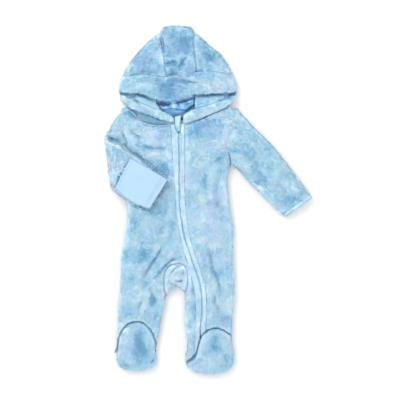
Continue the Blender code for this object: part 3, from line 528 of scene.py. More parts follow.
class PramsuitColours(PropertyGroup):
    """Colours of the cloths, seen in full light."""

    # The nap's colours, from deep to bright: its random mottle runs over them, and so does the light
    # and shade painted in its patches and creases
    bright: colour("Bright nap", "Plush brushed up in full light", (0.78, 0.92, 0.98))
    light: colour("Light nap", "Plush brushed up", (0.63, 0.83, 0.93))
    middle: colour("Plush", "Most of the plush", (0.43, 0.70, 0.865))
    deep: colour("Deep nap", "Plush brushed down", (0.22, 0.48, 0.71))
    # Painted shade: the colour of the plush that lies in shade under the face band
    shade: colour("Shaded plush", "Plush pressed under the face band", (0.13, 0.30, 0.38))
    # Painted shade: the colour at the bottoms of seams and creases and in the shadow lines under the
    # brim's lip and along the sleeve and mitten flaps
    seam: colour("Seams", "The backing where seams draw it in", (0.03, 0.12, 0.26))
    lilac: colour("Lilac cast", "A cast of the nap here and there", (0.56, 0.66, 0.93))
    teal: colour("Teal cast", "A cast of the nap in the shade", (0.36, 0.70, 0.78))
    jersey: colour("Jersey", "The mitten flaps", (0.35, 0.51, 0.84))
    satin_light: colour("Lining in full light", "The satin on its folds", (0.44, 0.65, 0.92))
    satin: colour("Lining", "The satin in the hood", (0.13, 0.33, 0.58))
    satin_deep: colour("Lining in the shade", "The satin in its folds", (0.012, 0.06, 0.15))
    tape: colour("Tape", "The zip's tape", (0.62, 0.82, 0.92))
    zip: colour("Teeth", "The zip's teeth", (0.55, 0.74, 0.86))
    slider: colour("Slider", "The painted slider", (0.05, 0.12, 0.20))
    thread: colour("Thread", "The stitching", (0.42, 0.66, 0.82))


class PramsuitStage(PropertyGroup):
    """The camera, straight over the suit, and the light."""

    camera_height: length("Camera height", "Height of the camera over the suit", 2.4)
    view_width: length("Width of view", "What the camera sees at the suit's height", 0.86)
    view_middle: length("Middle of view", "How far the view is off the body's middle", 0.0473)
    floor: colour("Floor", "The surface that the suit lies on", (0.72, 0.72, 0.72))
    sky: FloatProperty(name="Sky", description="Strength of the light all round", default=1.38)
    key: FloatProperty(name="Key light", description="Power of the soft light", default=22.0)


# ---------------------------------------------------------------- meshes


def select_only(piece):
    """Leaves this object alone selected and active."""
    bpy.ops.object.select_all(action="DESELECT")
    piece.select_set(True)
    bpy.context.view_layer.objects.active = piece


def apply_all(piece):
    """Applies the piece's modifiers in their order."""
    select_only(piece)
    for modifier in list(piece.modifiers):
        bpy.ops.object.modifier_apply(modifier=modifier.name)


def points_of(mesh, what="co"):
    """The points, or the normals, of a mesh's vertices as rows."""
    rows = np.empty(len(mesh.vertices) * 3)
    if what == "co":
        mesh.vertices.foreach_get("co", rows)
    else:
        mesh.vertex_normals.foreach_get("vector", rows)
    return rows.reshape(-1, 3)


def triangles_of(mesh):
    """The corners of a mesh's triangles as rows."""
    mesh.calc_loop_triangles()
    rows = np.empty(len(mesh.loop_triangles) * 3, dtype=np.int32)
    mesh.loop_triangles.foreach_get("vertices", rows)
    return rows.reshape(-1, 3)


def set_values(mesh, name, values):
    """Stores a number for each point of the mesh."""
    layer = mesh.attributes.new(name, "FLOAT", "POINT")
    layer.data.foreach_set("value", np.ascontiguousarray(values, dtype=np.float32))


def read_values(mesh, name):
    """The numbers stored for each point of the mesh."""
    values = np.empty(len(mesh.vertices), dtype=np.float32)
    mesh.attributes[name].data.foreach_get("value", values)
    return values.astype(float)


def moved_to(mesh, places):
    """Moves the mesh's points to these places."""
    mesh.vertices.foreach_set("co", places.ravel())
    mesh.update()


def new_piece(name, mesh):
    """A new object of this mesh in the scene."""
    piece = bpy.data.objects.new(name, mesh)
    bpy.context.scene.collection.objects.link(piece)
    return piece


def unit(rows):
    """Rows scaled to length one."""
    return rows / np.maximum(np.linalg.norm(rows, axis=-1, keepdims=True), 1e-9)


def near(away, width):
    """1 where this is 0, and fading over the width."""
    return np.exp(-((away / width) ** 2))


def step(values, low, high):
    """Rises smoothly from 0 at low to 1 at high."""
    share = np.clip((values - low) / (high - low), 0, 1)
    return share * share * (3 - 2 * share)


def blurred(mesh, values, rounds):
    """Values of the points, each averaged with its neighbours' this many times."""
    pairs = np.empty(len(mesh.edges) * 2, dtype=np.int32)
    mesh.edges.foreach_get("vertices", pairs)
    a, b = pairs[0::2], pairs[1::2]
    count = len(mesh.vertices)
    ring = 1 + np.bincount(a, minlength=count) + np.bincount(b, minlength=count)
    flat = values.reshape(count, -1)
    for _ in range(rounds):
        flat = np.stack([
            (column + np.bincount(a, column[b], count) + np.bincount(b, column[a], count)) / ring
            for column in flat.T
        ], axis=1)
    return flat.reshape(values.shape)


def curve_through(points):
    """Places about 4 mm apart on a smooth curve through the given ones."""
    rows = np.array(points, dtype=float)
    rows = np.vstack([2 * rows[0] - rows[1], rows, 2 * rows[-1] - rows[-2]])
    places = []
    for before, start, end, after in zip(rows, rows[1:], rows[2:], rows[3:]):
        steps = max(1, round(np.linalg.norm(end - start) / 4))
        for t in np.arange(steps) / steps:
            places.append(0.5 * (
                2 * start + (end - before) * t
                + (2 * before - 5 * start + 4 * end - after) * t**2
                + (3 * start - before - 3 * end + after) * t**3
            ))
    return np.array([*places, rows[-2]])


def from_line(places, line):
    """How far each place is from a line, how far along it that is, and the way out."""
    best = np.full(len(places), np.inf)
    along = np.zeros(len(places))
    out = np.zeros_like(places)
    for k, (a, b) in enumerate(zip(line, line[1:])):
        way = b - a
        share = np.clip((places - a) @ way / (way @ way), 0, 1)
        off = places - a - share[:, None] * way
        away = np.linalg.norm(off, axis=1)
        nearer = away < best
        best[nearer] = away[nearer]
        along[nearer] = ((k + share) / (len(line) - 1))[nearer]
        out[nearer] = off[nearer]
    return best, along, unit(out)


def swell(places, scale, seed):
    """Smooth unevenness, about -1 to 1, with waves of this length in metres."""
    shift = Vector((seed * 3.7, seed * 1.3, seed * 7.1))
    return np.array([noise.noise(Vector(p) / scale + shift) for p in places]) * 1.8


SOLIDS = {name: (points_of(o.data), triangles_of(o.data)) for name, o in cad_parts.items()}


def tree_of(names):
    """One search tree of the named solids."""
    points, faces, start = [], [], 0
    for name in names:
        places, corners = SOLIDS[name]
        points += places.tolist()
        faces += (corners + start).tolist()
        start += len(places)
    return BVHTree.FromPolygons(points, faces)


# ---------------------------------------------------------------- skins


def split_long_edges(mesh, limit):
    """Splits edges longer than this, so that values on the mesh's points stay fine."""
    bm = bmesh.new()
    bm.from_mesh(mesh)
    for _ in range(2):
        long_edges = [edge for edge in bm.edges if edge.calc_length() > limit]
        bmesh.ops.subdivide_edges(bm, edges=long_edges, cuts=1)
        bmesh.ops.triangulate(bm, faces=[face for face in bm.faces if len(face.verts) > 3])
    bm.to_mesh(mesh)
    bm.free()


def even_copy(node, name, voxel, softening, keep=1.0):
    """A copy of a solid's form in even, soft faces, of which this share is kept."""
    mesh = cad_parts[node].data.copy()
    mesh.materials.clear()
    piece = new_piece(name, mesh)
    select_only(piece)
    bpy.ops.object.mode_set(mode="EDIT")
    bpy.ops.mesh.select_all(action="SELECT")
    bpy.ops.mesh.remove_doubles(threshold=0.01 * MM)
    bpy.ops.object.mode_set(mode="OBJECT")
    even = piece.modifiers.new("even", "REMESH")
    even.mode = "VOXEL"
    even.voxel_size = voxel * MM
    soft = piece.modifiers.new("soft", "SMOOTH")
    soft.factor = 0.5
    soft.iterations = softening
    if keep < 1:
        piece.modifiers.new("fewer", "DECIMATE").ratio = keep
    apply_all(piece)
    if keep < FEW_FACES:
        split_long_edges(piece.data, LONG_EDGE * MM)
    piece.data.shade_smooth()
    return piece


def openness(places, normals, own, others, sight):
    """The share of a cone of sight over each point that leaves the suit and the floor."""
    seen = np.zeros(len(places))
    for k, (place, normal) in enumerate(zip(places, normals)):
        here, out = Vector(place), Vector(normal)
        side = out.orthogonal().normalized()
        other_side = out.cross(side)
        free = 0
        rays = (out, out + side, out - side, out + other_side, out - other_side)
        for ray in rays:
            ray = ray.normalized()
            if ray.z < -0.2 and here.z < -ray.z * FLOOR_REACH * MM:
                continue
            if others.ray_cast(here + ray * OTHERS_START * MM, ray, sight)[0]:
                continue
            if own.ray_cast(here + ray * OWN_START * MM, ray, sight)[0]:
                continue
            free += 1
        seen[k] = free / len(rays)
    return seen


def to_neighbours(places, node, reach):
    """How close the nearest other piece is, 0 to 1, which way, and how much its seam draws."""
    closeness = np.zeros(len(places))
    drawn = np.zeros(len(places))
    way = np.zeros_like(places)
    strengths = {}
    for other in SOLIDS:
        if other != node:
            strength = SEAM_PULLS.get(tuple(sorted((node, other))), 1.0)
            strengths.setdefault(strength, []).append(other)
    for strength, names in strengths.items():
        tree = tree_of(names)
        for k, place in enumerate(places):
            spot, _, _, distance = tree.find_nearest(Vector(place), reach)
            if spot:
                close = 1 - distance / reach
                drawn[k] = max(drawn[k], strength * close)
                if close > closeness[k]:
                    closeness[k] = close
                    way[k] = (spot - Vector(place)).normalized()
    return closeness, way, drawn


def creased(places, creases):
    """How deep creases press each place, how much shade is painted at their bottoms, and the way out of
    them.
    """
    depths = np.zeros(len(places))
    dark = np.zeros(len(places))
    out = np.zeros((len(places), 3))
    for start, bend, end, half_width, depth, painted_crease_shade in creases:
        away, along, way = from_line(places, curve_through((start, bend, end)))
        reach = away / half_width
        fade = np.sin(np.pi * np.clip(along, 0.02, 0.98)) ** 0.5
        depths += depth * fade * (near(reach, 1) - LIP_HEIGHT * near(reach - LIP_PLACE, 1))
        dark = np.maximum(dark, painted_crease_shade * fade * near(reach, LINE_SHARE))
        out[:, :2] += way * (painted_crease_shade * fade * near(away, LEAN_REACH))[:, None]
    return depths, dark, out


def painted_shade_at(dark, normals, drawn):
    """How much shade is painted at creases and drawn seams, on places that don't face down."""
    seams = SEAM_PAINTED_SHADE * step(drawn, 0.8, 1.0)
    return np.maximum(step(normals[:, 2], *NOT_DOWN) * dark, seams)


def patch_tones(places, patches):
    """The painted light and shade of listed patches at each place."""
    tones = np.zeros(len(places))
    for x, y, half_length, half_width, turn, tone in patches:
        turn = math.radians(turn)
        across = places - (x, y)
        u = (across[:, 0] * math.cos(turn) + across[:, 1] * math.sin(turn)) / half_length
        v = (across[:, 1] * math.cos(turn) - across[:, 0] * math.sin(turn)) / half_width
        tones += tone * np.exp(-((u**2 + v**2) ** 1.2))
    return tones


def rolled_up(places, moved, node):
    """Moves a facing's edge up to its band and under it."""
    height = (places[:, 2] - places[:, 2].min()) / np.ptp(places[:, 2])
    away, _, inwards = from_line(places[:, :2] / MM, curve_through(ROLLED[node]))
    moved[:, 2] += ROLL_RISE * MM * height * near(away, ROLL_RISE_WIDTH)
    moved[:, :2] -= ROLL_PULL * MM * inwards * near(away, ROLL_PULL_WIDTH)[:, None]


def cloth_skin(node, cloth):
    """The skin of a plush piece, sunk under its pile, drawn in at seams and creased."""
    settings = bpy.context.scene.pramsuit_cloth
    make = CLOTHS[cloth]
    piece = even_copy(node, f"{node}_cloth", make.voxel, make.soft, make.keep)
    mesh = piece.data
    places, normals = points_of(mesh), points_of(mesh, "normal")
    others = tree_of([n for n in SOLIDS if n != node])
    shows = openness(places, normals, tree_of([node]), others, settings.sight)
    shows = blurred(mesh, shows, 2)
    closeness, way, drawn = to_neighbours(places, node, 2 * settings.seam_width)
    out = unit(normals - way * (closeness * np.sum(normals * way, axis=1).clip(0))[:, None])
    out = unit(blurred(mesh, out, 2))
    open_share = step(shows, *SKIN_SHOWS)
    top = step(normals[:, 2], *FACING_UP) * open_share
    depths, dark, _ = creased(places[:, :2] / MM, CREASES_AND_PAINTED_SHADE.get(node, ()))
    sink = open_share * (make.sink + make.dip * drawn**2) * MM + top * depths * MM
    sink += top * settings.unevenness * swell(places, UNEVEN_WAVE, 1)
    moved = places - out * blurred(mesh, sink, 1)[:, None]
    if node in ROLLED:
        rolled_up(places, moved, node)
    moved[:, 2] = np.maximum(moved[:, 2], SKIN_FLOOR * MM)
    moved_to(mesh, moved)
    # Painted light and shade in the tone: a highlight beside seams and on edges that turn down, the
    # light and shade of the patches, and shade in creases
    rim = SEAM_PAINTED_HIGHLIGHT * near(drawn - 0.5, 0.2)
    edge = open_share * (1 - step(normals[:, 2], *TURNING_DOWN)) * (1 - step(closeness, 0.2, 0.6))
    patches = patch_tones(places[:, :2] / MM, LIGHT_AND_SHADE_PATCHES)
    tone = top * (patches + rim - CREASE_PAINTED_SHADE * depths) + make.rim * edge
    lean = way * (closeness * SEAM_LEAN * (1 - 2 * drawn))[:, None]
    lean += unit(normals * (1, 1, 0)) * edge[:, None]
    set_values(mesh, "shows", shows)
    set_values(mesh, "tone", tone)
    set_values(mesh, "drawn", drawn)
    # Painted shade at the bottoms of creases and seams
    set_values(mesh, "dark", painted_shade_at(dark, normals, drawn))
    for axis, column in zip("xyz", lean.T):
        set_values(mesh, f"lean_{axis}", column)
    return piece


def nap_of(roots, normals, lean):
    """Which way the nap lies at each root: down the suit in swirls, and with its lean."""
    swirl = bpy.context.scene.pramsuit_cloth.swirl
    turn = swirl * swell(roots, SWIRL_WAVE, 3) + RIPPLE * swell(roots, RIPPLE_WAVE, 5)
    way = np.stack([np.sin(turn), -np.cos(turn), np.zeros(len(roots))], axis=1)
    way += lean
    way -= normals * np.sum(way * normals, axis=1)[:, None]
    return unit(way)


def locks_of(roots, draw, share):
    """A lock for each root: the number of the nearest of some of the roots."""
    heads = draw.choice(len(roots), max(1, int(len(roots) * share)), replace=False)
    tree = KDTree(len(heads))
    for k, head in enumerate(heads):
        tree.insert(roots[head], k)
    tree.balance()
    return heads, np.array([tree.find(root)[1] for root in roots])


def tuft_mesh(name, rings, tips, facing):
    """Closed three-sided tufts, one for each tip, shaded as the soft pile round them."""
    count = len(tips)
    points = np.stack([*rings, tips], axis=1).reshape(-1, 3)
    faces = np.array([(0, 1, 2), (0, 3, 1), (1, 3, 2), (2, 3, 0)])
    faces = (faces[None] + 4 * np.arange(count)[:, None, None]).reshape(-1, 3)
    tufts = bpy.data.meshes.new(name)
    tufts.from_pydata(points, [], faces)
    tufts.shade_smooth()
    tufts.normals_split_custom_set_from_vertices(np.stack(facing, axis=1).reshape(-1, 3))
    return tufts


def scatter_roots(mesh, node, thick, draw):
    """Corners, shares and places of roots all over what shows of a skin, off its stitches."""
    places, corners = points_of(mesh), triangles_of(mesh)
    shows = step(read_values(mesh, "shows"), *PILE_SHOWS)
    a, b, c = (places[corners[:, k]] for k in range(3))
    weight = np.linalg.norm(np.cross(b - a, c - a), axis=1) / 2 * shows[corners].mean(axis=1)
    count = int(weight.sum() * 1e4 * bpy.context.scene.pramsuit_cloth.density * thick)
    chosen = corners[draw.choice(len(corners), count, p=weight / weight.sum())]
    shares = draw.dirichlet((1, 1, 1), count)
    roots = np.einsum("nk,nkx->nx", shares, places[chosen])
    for line in STITCHES.get(node, ()):
        away = from_line(roots[:, :2] / MM, curve_through(line))[0]
        kept = away > PARTING
        chosen, shares, roots = chosen[kept], shares[kept], roots[kept]
    return chosen, shares, roots


def grow_pile(skin, node, cloth, seed):
    """Tufts in locks all over what shows of a skin, parted at its creases and stitches."""
    settings = bpy.context.scene.pramsuit_cloth
    make = CLOTHS[cloth]
    draw = np.random.default_rng(settings.seed * 100 + seed)
    mesh = skin.data
    chosen, shares, roots = scatter_roots(mesh, node, make.thick, draw)
    count = len(roots)

    def at_roots(values):
        return np.einsum("nk,nk...->n...", shares, values[chosen])

    out = unit(at_roots(points_of(mesh, "normal")))
    drawn = at_roots(read_values(mesh, "drawn"))
    lean_way = np.stack([at_roots(read_values(mesh, f"lean_{axis}")) for axis in "xyz"], axis=1)
    _, dark, way_out = creased(roots[:, :2] / MM, CREASES_AND_PAINTED_SHADE.get(node, ()))
    # The painted shade of creases and seams, carried to each tuft
    dark = painted_shade_at(dark, out, drawn)
    lean_way += CREASE_LEAN * way_out * step(out[:, 2], *NOT_DOWN)[:, None]
    nap = nap_of(roots, out, lean_way)
    side = np.cross(out, nap)
    lean = np.radians(make.lean) + draw.normal(0, LEAN_SPREAD, count)
    splay = draw.normal(0, SPLAY_SPREAD, count)
    way = (
        out * np.cos(lean)[:, None]
        + (nap * np.cos(splay)[:, None] + side * np.sin(splay)[:, None]) * np.sin(lean)[:, None]
    )
    pile = make.pile * MM * settings.pile_share * draw.uniform(*TUFT_LENGTHS, count)
    pile *= 1 - SHORTER * np.maximum(step(drawn, 0.4, 0.9), dark)
    tips = roots + way * pile[:, None]
    heads, locks = locks_of(roots, draw, 1 / settings.lock)
    tips += settings.gather * (tips[heads][locks] - tips)
    tips[:, 2] = np.maximum(tips[:, 2], TIP_FLOOR * MM)
    radius = make.width * MM * draw.uniform(*TUFT_RADII, count)
    across = unit(np.cross(tips - roots, out))
    depth = np.cross(across, unit(tips - roots))
    foot = roots - out * ROOT_DEPTH * MM
    rings = [
        foot + (across * math.cos(turn) + depth * math.sin(turn)) * radius[:, None]
        for turn in (math.pi / 6, 5 * math.pi / 6, 3 * math.pi / 2)
    ]
    rings = [np.column_stack([r[:, :2], np.maximum(r[:, 2], SKIN_FLOOR * MM)]) for r in rings]
    facing = [unit(out + ROUNDNESS * unit(r - foot)) for r in rings] + [unit(out + 0.5 * way)]
    tufts = tuft_mesh(f"{node}_pile", rings, tips, facing)
    tone = at_roots(read_values(mesh, "tone")) + draw.normal(0, TUFT_TONES, count)
    tone += draw.normal(0, LOCK_TONES, len(heads))[locks]
    set_values(tufts, "tip", np.tile((0.0, 0.0, 0.0, 1.0), count))
    set_values(tufts, "tone", np.repeat(tone, 4))
    set_values(tufts, "dark", np.repeat(dark, 4))
    return new_piece(f"{node}_pile", tufts)


def declare(piece, node, pile=None):
    """Fixes a cloth piece, and its pile if it has one, to the suit in place of its solid."""
    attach(piece, "root")
    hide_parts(node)
    if pile:
        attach(pile, "root")


def dress_plush(node, cloth, shade, seed):
    """Makes a plush piece: its skin and its pile."""
    skin = cloth_skin(node, cloth)
    give_finish(skin, f"{shade}_backing", plush_finish, *SHADES[shade], False)
    pile = grow_pile(skin, node, cloth, seed)
    give_finish(pile, f"{shade}_pile", plush_finish, *SHADES[shade], True)
    declare(skin, node, pile)


# ---------------------------------------------------------------- materials


def give_finish(piece, name, make, *values):
    """Gives a piece the finish of this name, made the first time that it is asked for."""
    piece.data.materials.append(bpy.data.materials.get(name) or make(name, *values))


def new_material(name, roughness, sheen=0.0, sheen_tint=(1, 1, 1)):
    """A material and its shader, ready for nodes."""
    finish = bpy.data.materials.new(name)
    finish.use_nodes = True
    shader = finish.node_tree.nodes["Principled BSDF"]
    shader.inputs["Roughness"].default_value = roughness
    shader.inputs["Specular IOR Level"].default_value = 0.2
    shader.inputs["Sheen Weight"].default_value = sheen
    shader.inputs["Sheen Roughness"].default_value = 0.45
    shader.inputs["Sheen Tint"].default_value = (*sheen_tint, 1)
    return finish, shader


class Nodes:
    """Short ways to add and join the nodes of one material."""

    def __init__(self, finish):
        self.tree = finish.node_tree
        self.coords = self.add("ShaderNodeTexCoord").outputs["Object"]

    def add(self, kind, **settings):
        """A new node with these settings."""
        node = self.tree.nodes.new(kind)
        for key, value in settings.items():
            setattr(node, key, value)
        return node

    def join(self, source, target):
        """Links a source to a socket."""
        self.tree.links.new(source, target)

    def value_of(self, name):
        """A number stored on the mesh's points."""
        return self.add("ShaderNodeAttribute", attribute_name=name).outputs["Fac"]

    def noise(self, wave, detail=2.0, rough=0.5, stretch=None, warp=0.0):
        """Noise with waves of this length in metres."""
        node = self.add("ShaderNodeTexNoise")
        node.inputs["Scale"].default_value = 1 / wave
        node.inputs["Detail"].default_value = detail
        node.inputs["Roughness"].default_value = rough
        node.inputs["Distortion"].default_value = warp
        source = self.coords
        if stretch:
            mapping = self.add("ShaderNodeMapping")
            mapping.inputs["Scale"].default_value = stretch
            self.join(source, mapping.inputs["Vector"])
            source = mapping.outputs["Vector"]
        self.join(source, node.inputs["Vector"])
        return node.outputs["Fac"]

    def sum(self, start, *terms):
        """Adds sources, each multiplied by its factor, to a start value."""
        total = None
        for source, factor in terms:
            node = self.add("ShaderNodeMath", operation="MULTIPLY_ADD")
            self.join(source, node.inputs[0])
            node.inputs[1].default_value = factor
            if total:
                self.join(total, node.inputs[2])
            else:
                node.inputs[2].default_value = start
            total = node.outputs[0]
        return total

    def ramp(self, source, stops):
        """Colours along a source, which runs from 0 to 1."""
        node = self.add("ShaderNodeValToRGB")
        elements = node.color_ramp.elements
        for _ in range(len(stops) - 2):
            elements.new(0.5)
        for element, (place, tint) in zip(elements, stops):
            element.position = place
            element.color = (*tint, 1)
        self.join(source, node.inputs["Fac"])
        return node.outputs["Color"]

    def mix(self, factor, first, second, blend="MIX"):
        """Two colours mixed; any of the three may be a socket or a value."""
        node = self.add("ShaderNodeMix", data_type="RGBA", blend_type=blend)
        sockets = (node.inputs[0], node.inputs[6], node.inputs[7])
        for socket, value in zip(sockets, (factor, first, second)):
            if isinstance(value, bpy.types.NodeSocket):
                self.join(value, socket)
            elif isinstance(value, (int, float)):
                socket.default_value = value
            else:
                socket.default_value = (*value, 1)
        return node.outputs[2]

    def bump(self, shader, source, distance, strength=1.0):
        """Relief on the shader, this deep in metres."""
        node = self.add("ShaderNodeBump")
        node.inputs["Distance"].default_value = distance
        node.inputs["Strength"].default_value = strength
        self.join(source, node.inputs["Height"])
        self.join(node.outputs["Normal"], shader.inputs["Normal"])


def times(tint, factor):
    """A colour made deeper or lighter."""
    return [min(1, part * factor) for part in tint]


def plush_finish(name, lift, shaded, pile):
    """Plush whose nap has light and shade painted in patches, with painted shade at the roots and light
    tips.
    """
    colours = bpy.context.scene.pramsuit_colours
    finish, shader = new_material(name, 0.8, 0.35, (0.8, 0.9, 1.0))
    nodes = Nodes(finish)
    (broad, broad_share), (middle, middle_share), (fine, fine_share) = NAP_WAVES
    shade = nodes.sum(
        lift - 0.43,
        (nodes.noise(broad, warp=0.8), broad_share),
        (nodes.noise(middle, stretch=(1.3, 0.75, 1), warp=1.0), middle_share),
        (nodes.noise(fine, 1.0), fine_share),
        (nodes.value_of("tone"), 0.42),
    )
    # From deep to bright: random waves of the nap run over this ramp, and so do the painted light and
    # shade of the tone
    plain = nodes.ramp(shade, (
        (0.0, colours.deep), (0.38, colours.middle), (0.72, colours.light), (1.0, colours.bright),
    ))
    cast = nodes.noise(0.05, 1.0, warp=0.5)
    lilac = nodes.ramp(cast, ((0.55, (0, 0, 0)), (0.8, (0.5, 0.5, 0.5))))
    teal = nodes.ramp(cast, ((0.2, (0.4, 0.4, 0.4)), (0.45, (0, 0, 0))))
    coloured = nodes.mix(lilac, plain, colours.lilac)
    coloured = nodes.mix(teal, coloured, colours.teal)
    # Painted shade, where a piece lies in shade under the face band
    coloured = nodes.mix(shaded, coloured, colours.shade)
    if pile:
        # Painted shade at the tufts' roots, fading to none at their tips
        tips = nodes.ramp(nodes.value_of("tip"), ((0.0, ROOT_PAINTED_SHADE), (0.7, (1, 1, 1))))
    else:
        fibres = nodes.noise(0.0012, 2.0, 0.6)
        tips = nodes.ramp(fibres, ((0.3, BACKING_DEEP), (0.7, BACKING_LIGHT)))
        nodes.bump(shader, fibres, 0.0008)
    coloured = nodes.mix(1.0, coloured, tips, "MULTIPLY")
    # Painted shade at the bottoms of creases and seams
    coloured = nodes.mix(nodes.value_of("dark"), coloured, colours.seam)
    nodes.join(coloured, shader.inputs["Base Color"])
    return finish


def jersey_finish(name):
    """Smooth jersey: fine columns of stitches, with shade painted in the grooves of its hems."""
    colours = bpy.context.scene.pramsuit_colours
    finish, shader = new_material(name, 0.75, 0.25, (0.85, 0.93, 1.0))
    nodes = Nodes(finish)
    turned = nodes.add("ShaderNodeMapping")
    turned.inputs["Rotation"].default_value = (0, 0, math.radians(31))
    nodes.join(nodes.coords, turned.inputs["Vector"])
    columns = nodes.add("ShaderNodeTexWave", bands_direction="Y")
    columns.inputs["Scale"].default_value = 2 / (JERSEY_COLUMN * MM) / math.tau
    columns.inputs["Distortion"].default_value = 1.2
    columns.inputs["Detail"].default_value = 1.0
    nodes.join(turned.outputs["Vector"], columns.inputs["Vector"])
    shade = nodes.sum(
        0.3, (columns.outputs["Fac"], 0.18), (nodes.noise(0.02), 0.5), (nodes.value_of("tone"), -0.5),
    )
    plain = nodes.ramp(shade, (
        (0.0, times(colours.jersey, 0.6)), (0.45, times(colours.jersey, 0.92)), (0.9, colours.jersey),
    ))
    nodes.join(plain, shader.inputs["Base Color"])
    nodes.bump(shader, columns.outputs["Fac"], 0.0002, 0.6)
    return finish


def satin_finish(name):
    """Satin with a soft shine and a fine weave, with shade painted deep in its folds."""
    colours = bpy.context.scene.pramsuit_colours
    finish, shader = new_material(name, 0.34, 0.05, (0.7, 0.85, 1.0))
    shader.inputs["Specular IOR Level"].default_value = 0.3
    nodes = Nodes(finish)
    shade = nodes.sum(0.38, (nodes.noise(0.008, warp=0.8), 0.3), (nodes.value_of("tone"), 0.5))
    plain = nodes.ramp(shade, (
        (0.0, colours.satin_deep), (0.55, colours.satin), (1.0, colours.satin_light),
    ))
    nodes.join(plain, shader.inputs["Base Color"])
    nodes.bump(shader, nodes.noise(0.0006, 1.0, stretch=(1, 6, 1)), 0.0001, 0.5)
    return finish


def woven_finish(name, tint, wave):
    """Tape or thread: a fine twill, with waves of this length in metres, over one colour."""
    finish, shader = new_material(name, 0.7, 0.1)
    nodes = Nodes(finish)
    twill = nodes.add("ShaderNodeTexWave", bands_direction="DIAGONAL")
    twill.inputs["Scale"].default_value = 1 / wave / math.tau
    twill.inputs["Distortion"].default_value = 0.6
    nodes.join(nodes.coords, twill.inputs["Vector"])
    shade = nodes.sum(0.1, (twill.outputs["Fac"], 0.5), (nodes.noise(0.009), 0.5))
    plain = nodes.ramp(shade, ((0.1, times(tint, 0.7)), (0.9, times(tint, 1.12))))
    nodes.join(plain, shader.inputs["Base Color"])
    nodes.bump(shader, twill.outputs["Fac"], 0.00015, 0.6)
    return finish


def nylon_finish(name, tint, roughness, metal):
    """Moulded teeth or a painted slider, a little worn on the high spots."""
    finish, shader = new_material(name, roughness)
    shader.inputs["Metallic"].default_value = metal
    shader.inputs["Specular IOR Level"].default_value = 0.5
    nodes = Nodes(finish)
    wear = nodes.noise(0.002, 3.0, 0.6)
    plain = nodes.ramp(wear, ((0.3, times(tint, 0.82)), (0.75, times(tint, 1.15))))
    nodes.join(plain, shader.inputs["Base Color"])
    nodes.bump(shader, wear, 0.00005, 0.4)
    return finish


def floor_finish(name, tint):
    """A plain pale surface with the faintest unevenness."""
    finish, shader = new_material(name, 0.9)
    nodes = Nodes(finish)
    plain = nodes.ramp(nodes.noise(0.15, 1.0), ((0.2, times(tint, 0.99)), (0.8, tint)))
    nodes.join(plain, shader.inputs["Base Color"])
    return finish


# ---------------------------------------------------------------- small parts


def below_line(places, line):
    """1 for places on the lower side of a line, or beyond its ends 0."""
    inside = np.interp(places[:, 0], line[:, 0][::-1], line[:, 1][::-1], left=-1e9, right=-1e9)
    return step(inside - places[:, 1], -0.4, 1.2)


def spaced_along(line, pitch):
    """Places and ways along a line, this far apart."""
    steps = np.linalg.norm(np.diff(line, axis=0), axis=1)
    along = np.concatenate([[0], np.cumsum(steps)])
    wanted = np.arange(pitch / 2, along[-1], pitch)
    places = np.stack([np.interp(wanted, along, line[:, k]) for k in range(2)], axis=1)
    ahead = np.stack([np.interp(wanted + 0.5, along, line[:, k]) for k in range(2)], axis=1)
    behind = np.stack([np.interp(wanted - 0.5, along, line[:, k]) for k in range(2)], axis=1)
    return places, unit(ahead - behind)


def bar(bm, middle, axis, half_length, radius, flatness=1.0):
    """Adds a closed bar with narrowed ends to a mesh in the making."""
    axis = Vector(axis).normalized()
    side = axis.cross(Vector((0, 0, 1))).normalized()
    up = side.cross(axis)
    rings = []
    for along, width in BAR_RINGS:
        ring = []
        for k in range(BAR_SIDES):
            turn = math.tau * k / BAR_SIDES
            off = (side * math.cos(turn) + up * math.sin(turn) * flatness) * radius * width
            ring.append(bm.verts.new(Vector(middle) + axis * along * half_length + off))
        rings.append(ring)
    for first, second in zip(rings, rings[1:]):
        for k in range(BAR_SIDES):
            after = (k + 1) % BAR_SIDES
            bm.faces.new((first[k], second[k], second[after], first[after]))
    bm.faces.new(rings[0])
    bm.faces.new(rings[-1][::-1])


def finished(name, bm):
    """A smooth object from a mesh in the making, its faces turned outwards."""
    bmesh.ops.recalc_face_normals(bm, faces=bm.faces)
    mesh = bpy.data.meshes.new(name)
    bm.to_mesh(mesh)
    bm.free()
    mesh.shade_smooth()
    return new_piece(name, mesh)


def zip_teeth():
    """Two rows of moulded turns along the zip, set half a pitch apart."""
    low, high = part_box("zip_coil")
    bm = bmesh.new()
    line = curve_through(ZIP)
    line = line[line[:, 1] > low[1] / MM + 1]
    level = high[2] - TOOTH_DEPTH * MM
    places, ways = spaced_along(line, TOOTH_PITCH)
    for shift, ahead in ((TOOTH_SHIFT, 0), (-TOOTH_SHIFT, TOOTH_PITCH / 2)):
        for place, way in zip(places, ways):
            across = Vector((-way[1], way[0], 0))
            middle = Vector((*place, 0)) + across * shift + Vector((*way, 0)) * ahead
            middle = (middle.x * MM, middle.y * MM, level)
            bar(bm, middle, across, TOOTH_HALF_LENGTH * MM, TOOTH_RADIUS * MM, TOOTH_HEIGHT)
    return finished("zip_teeth", bm)


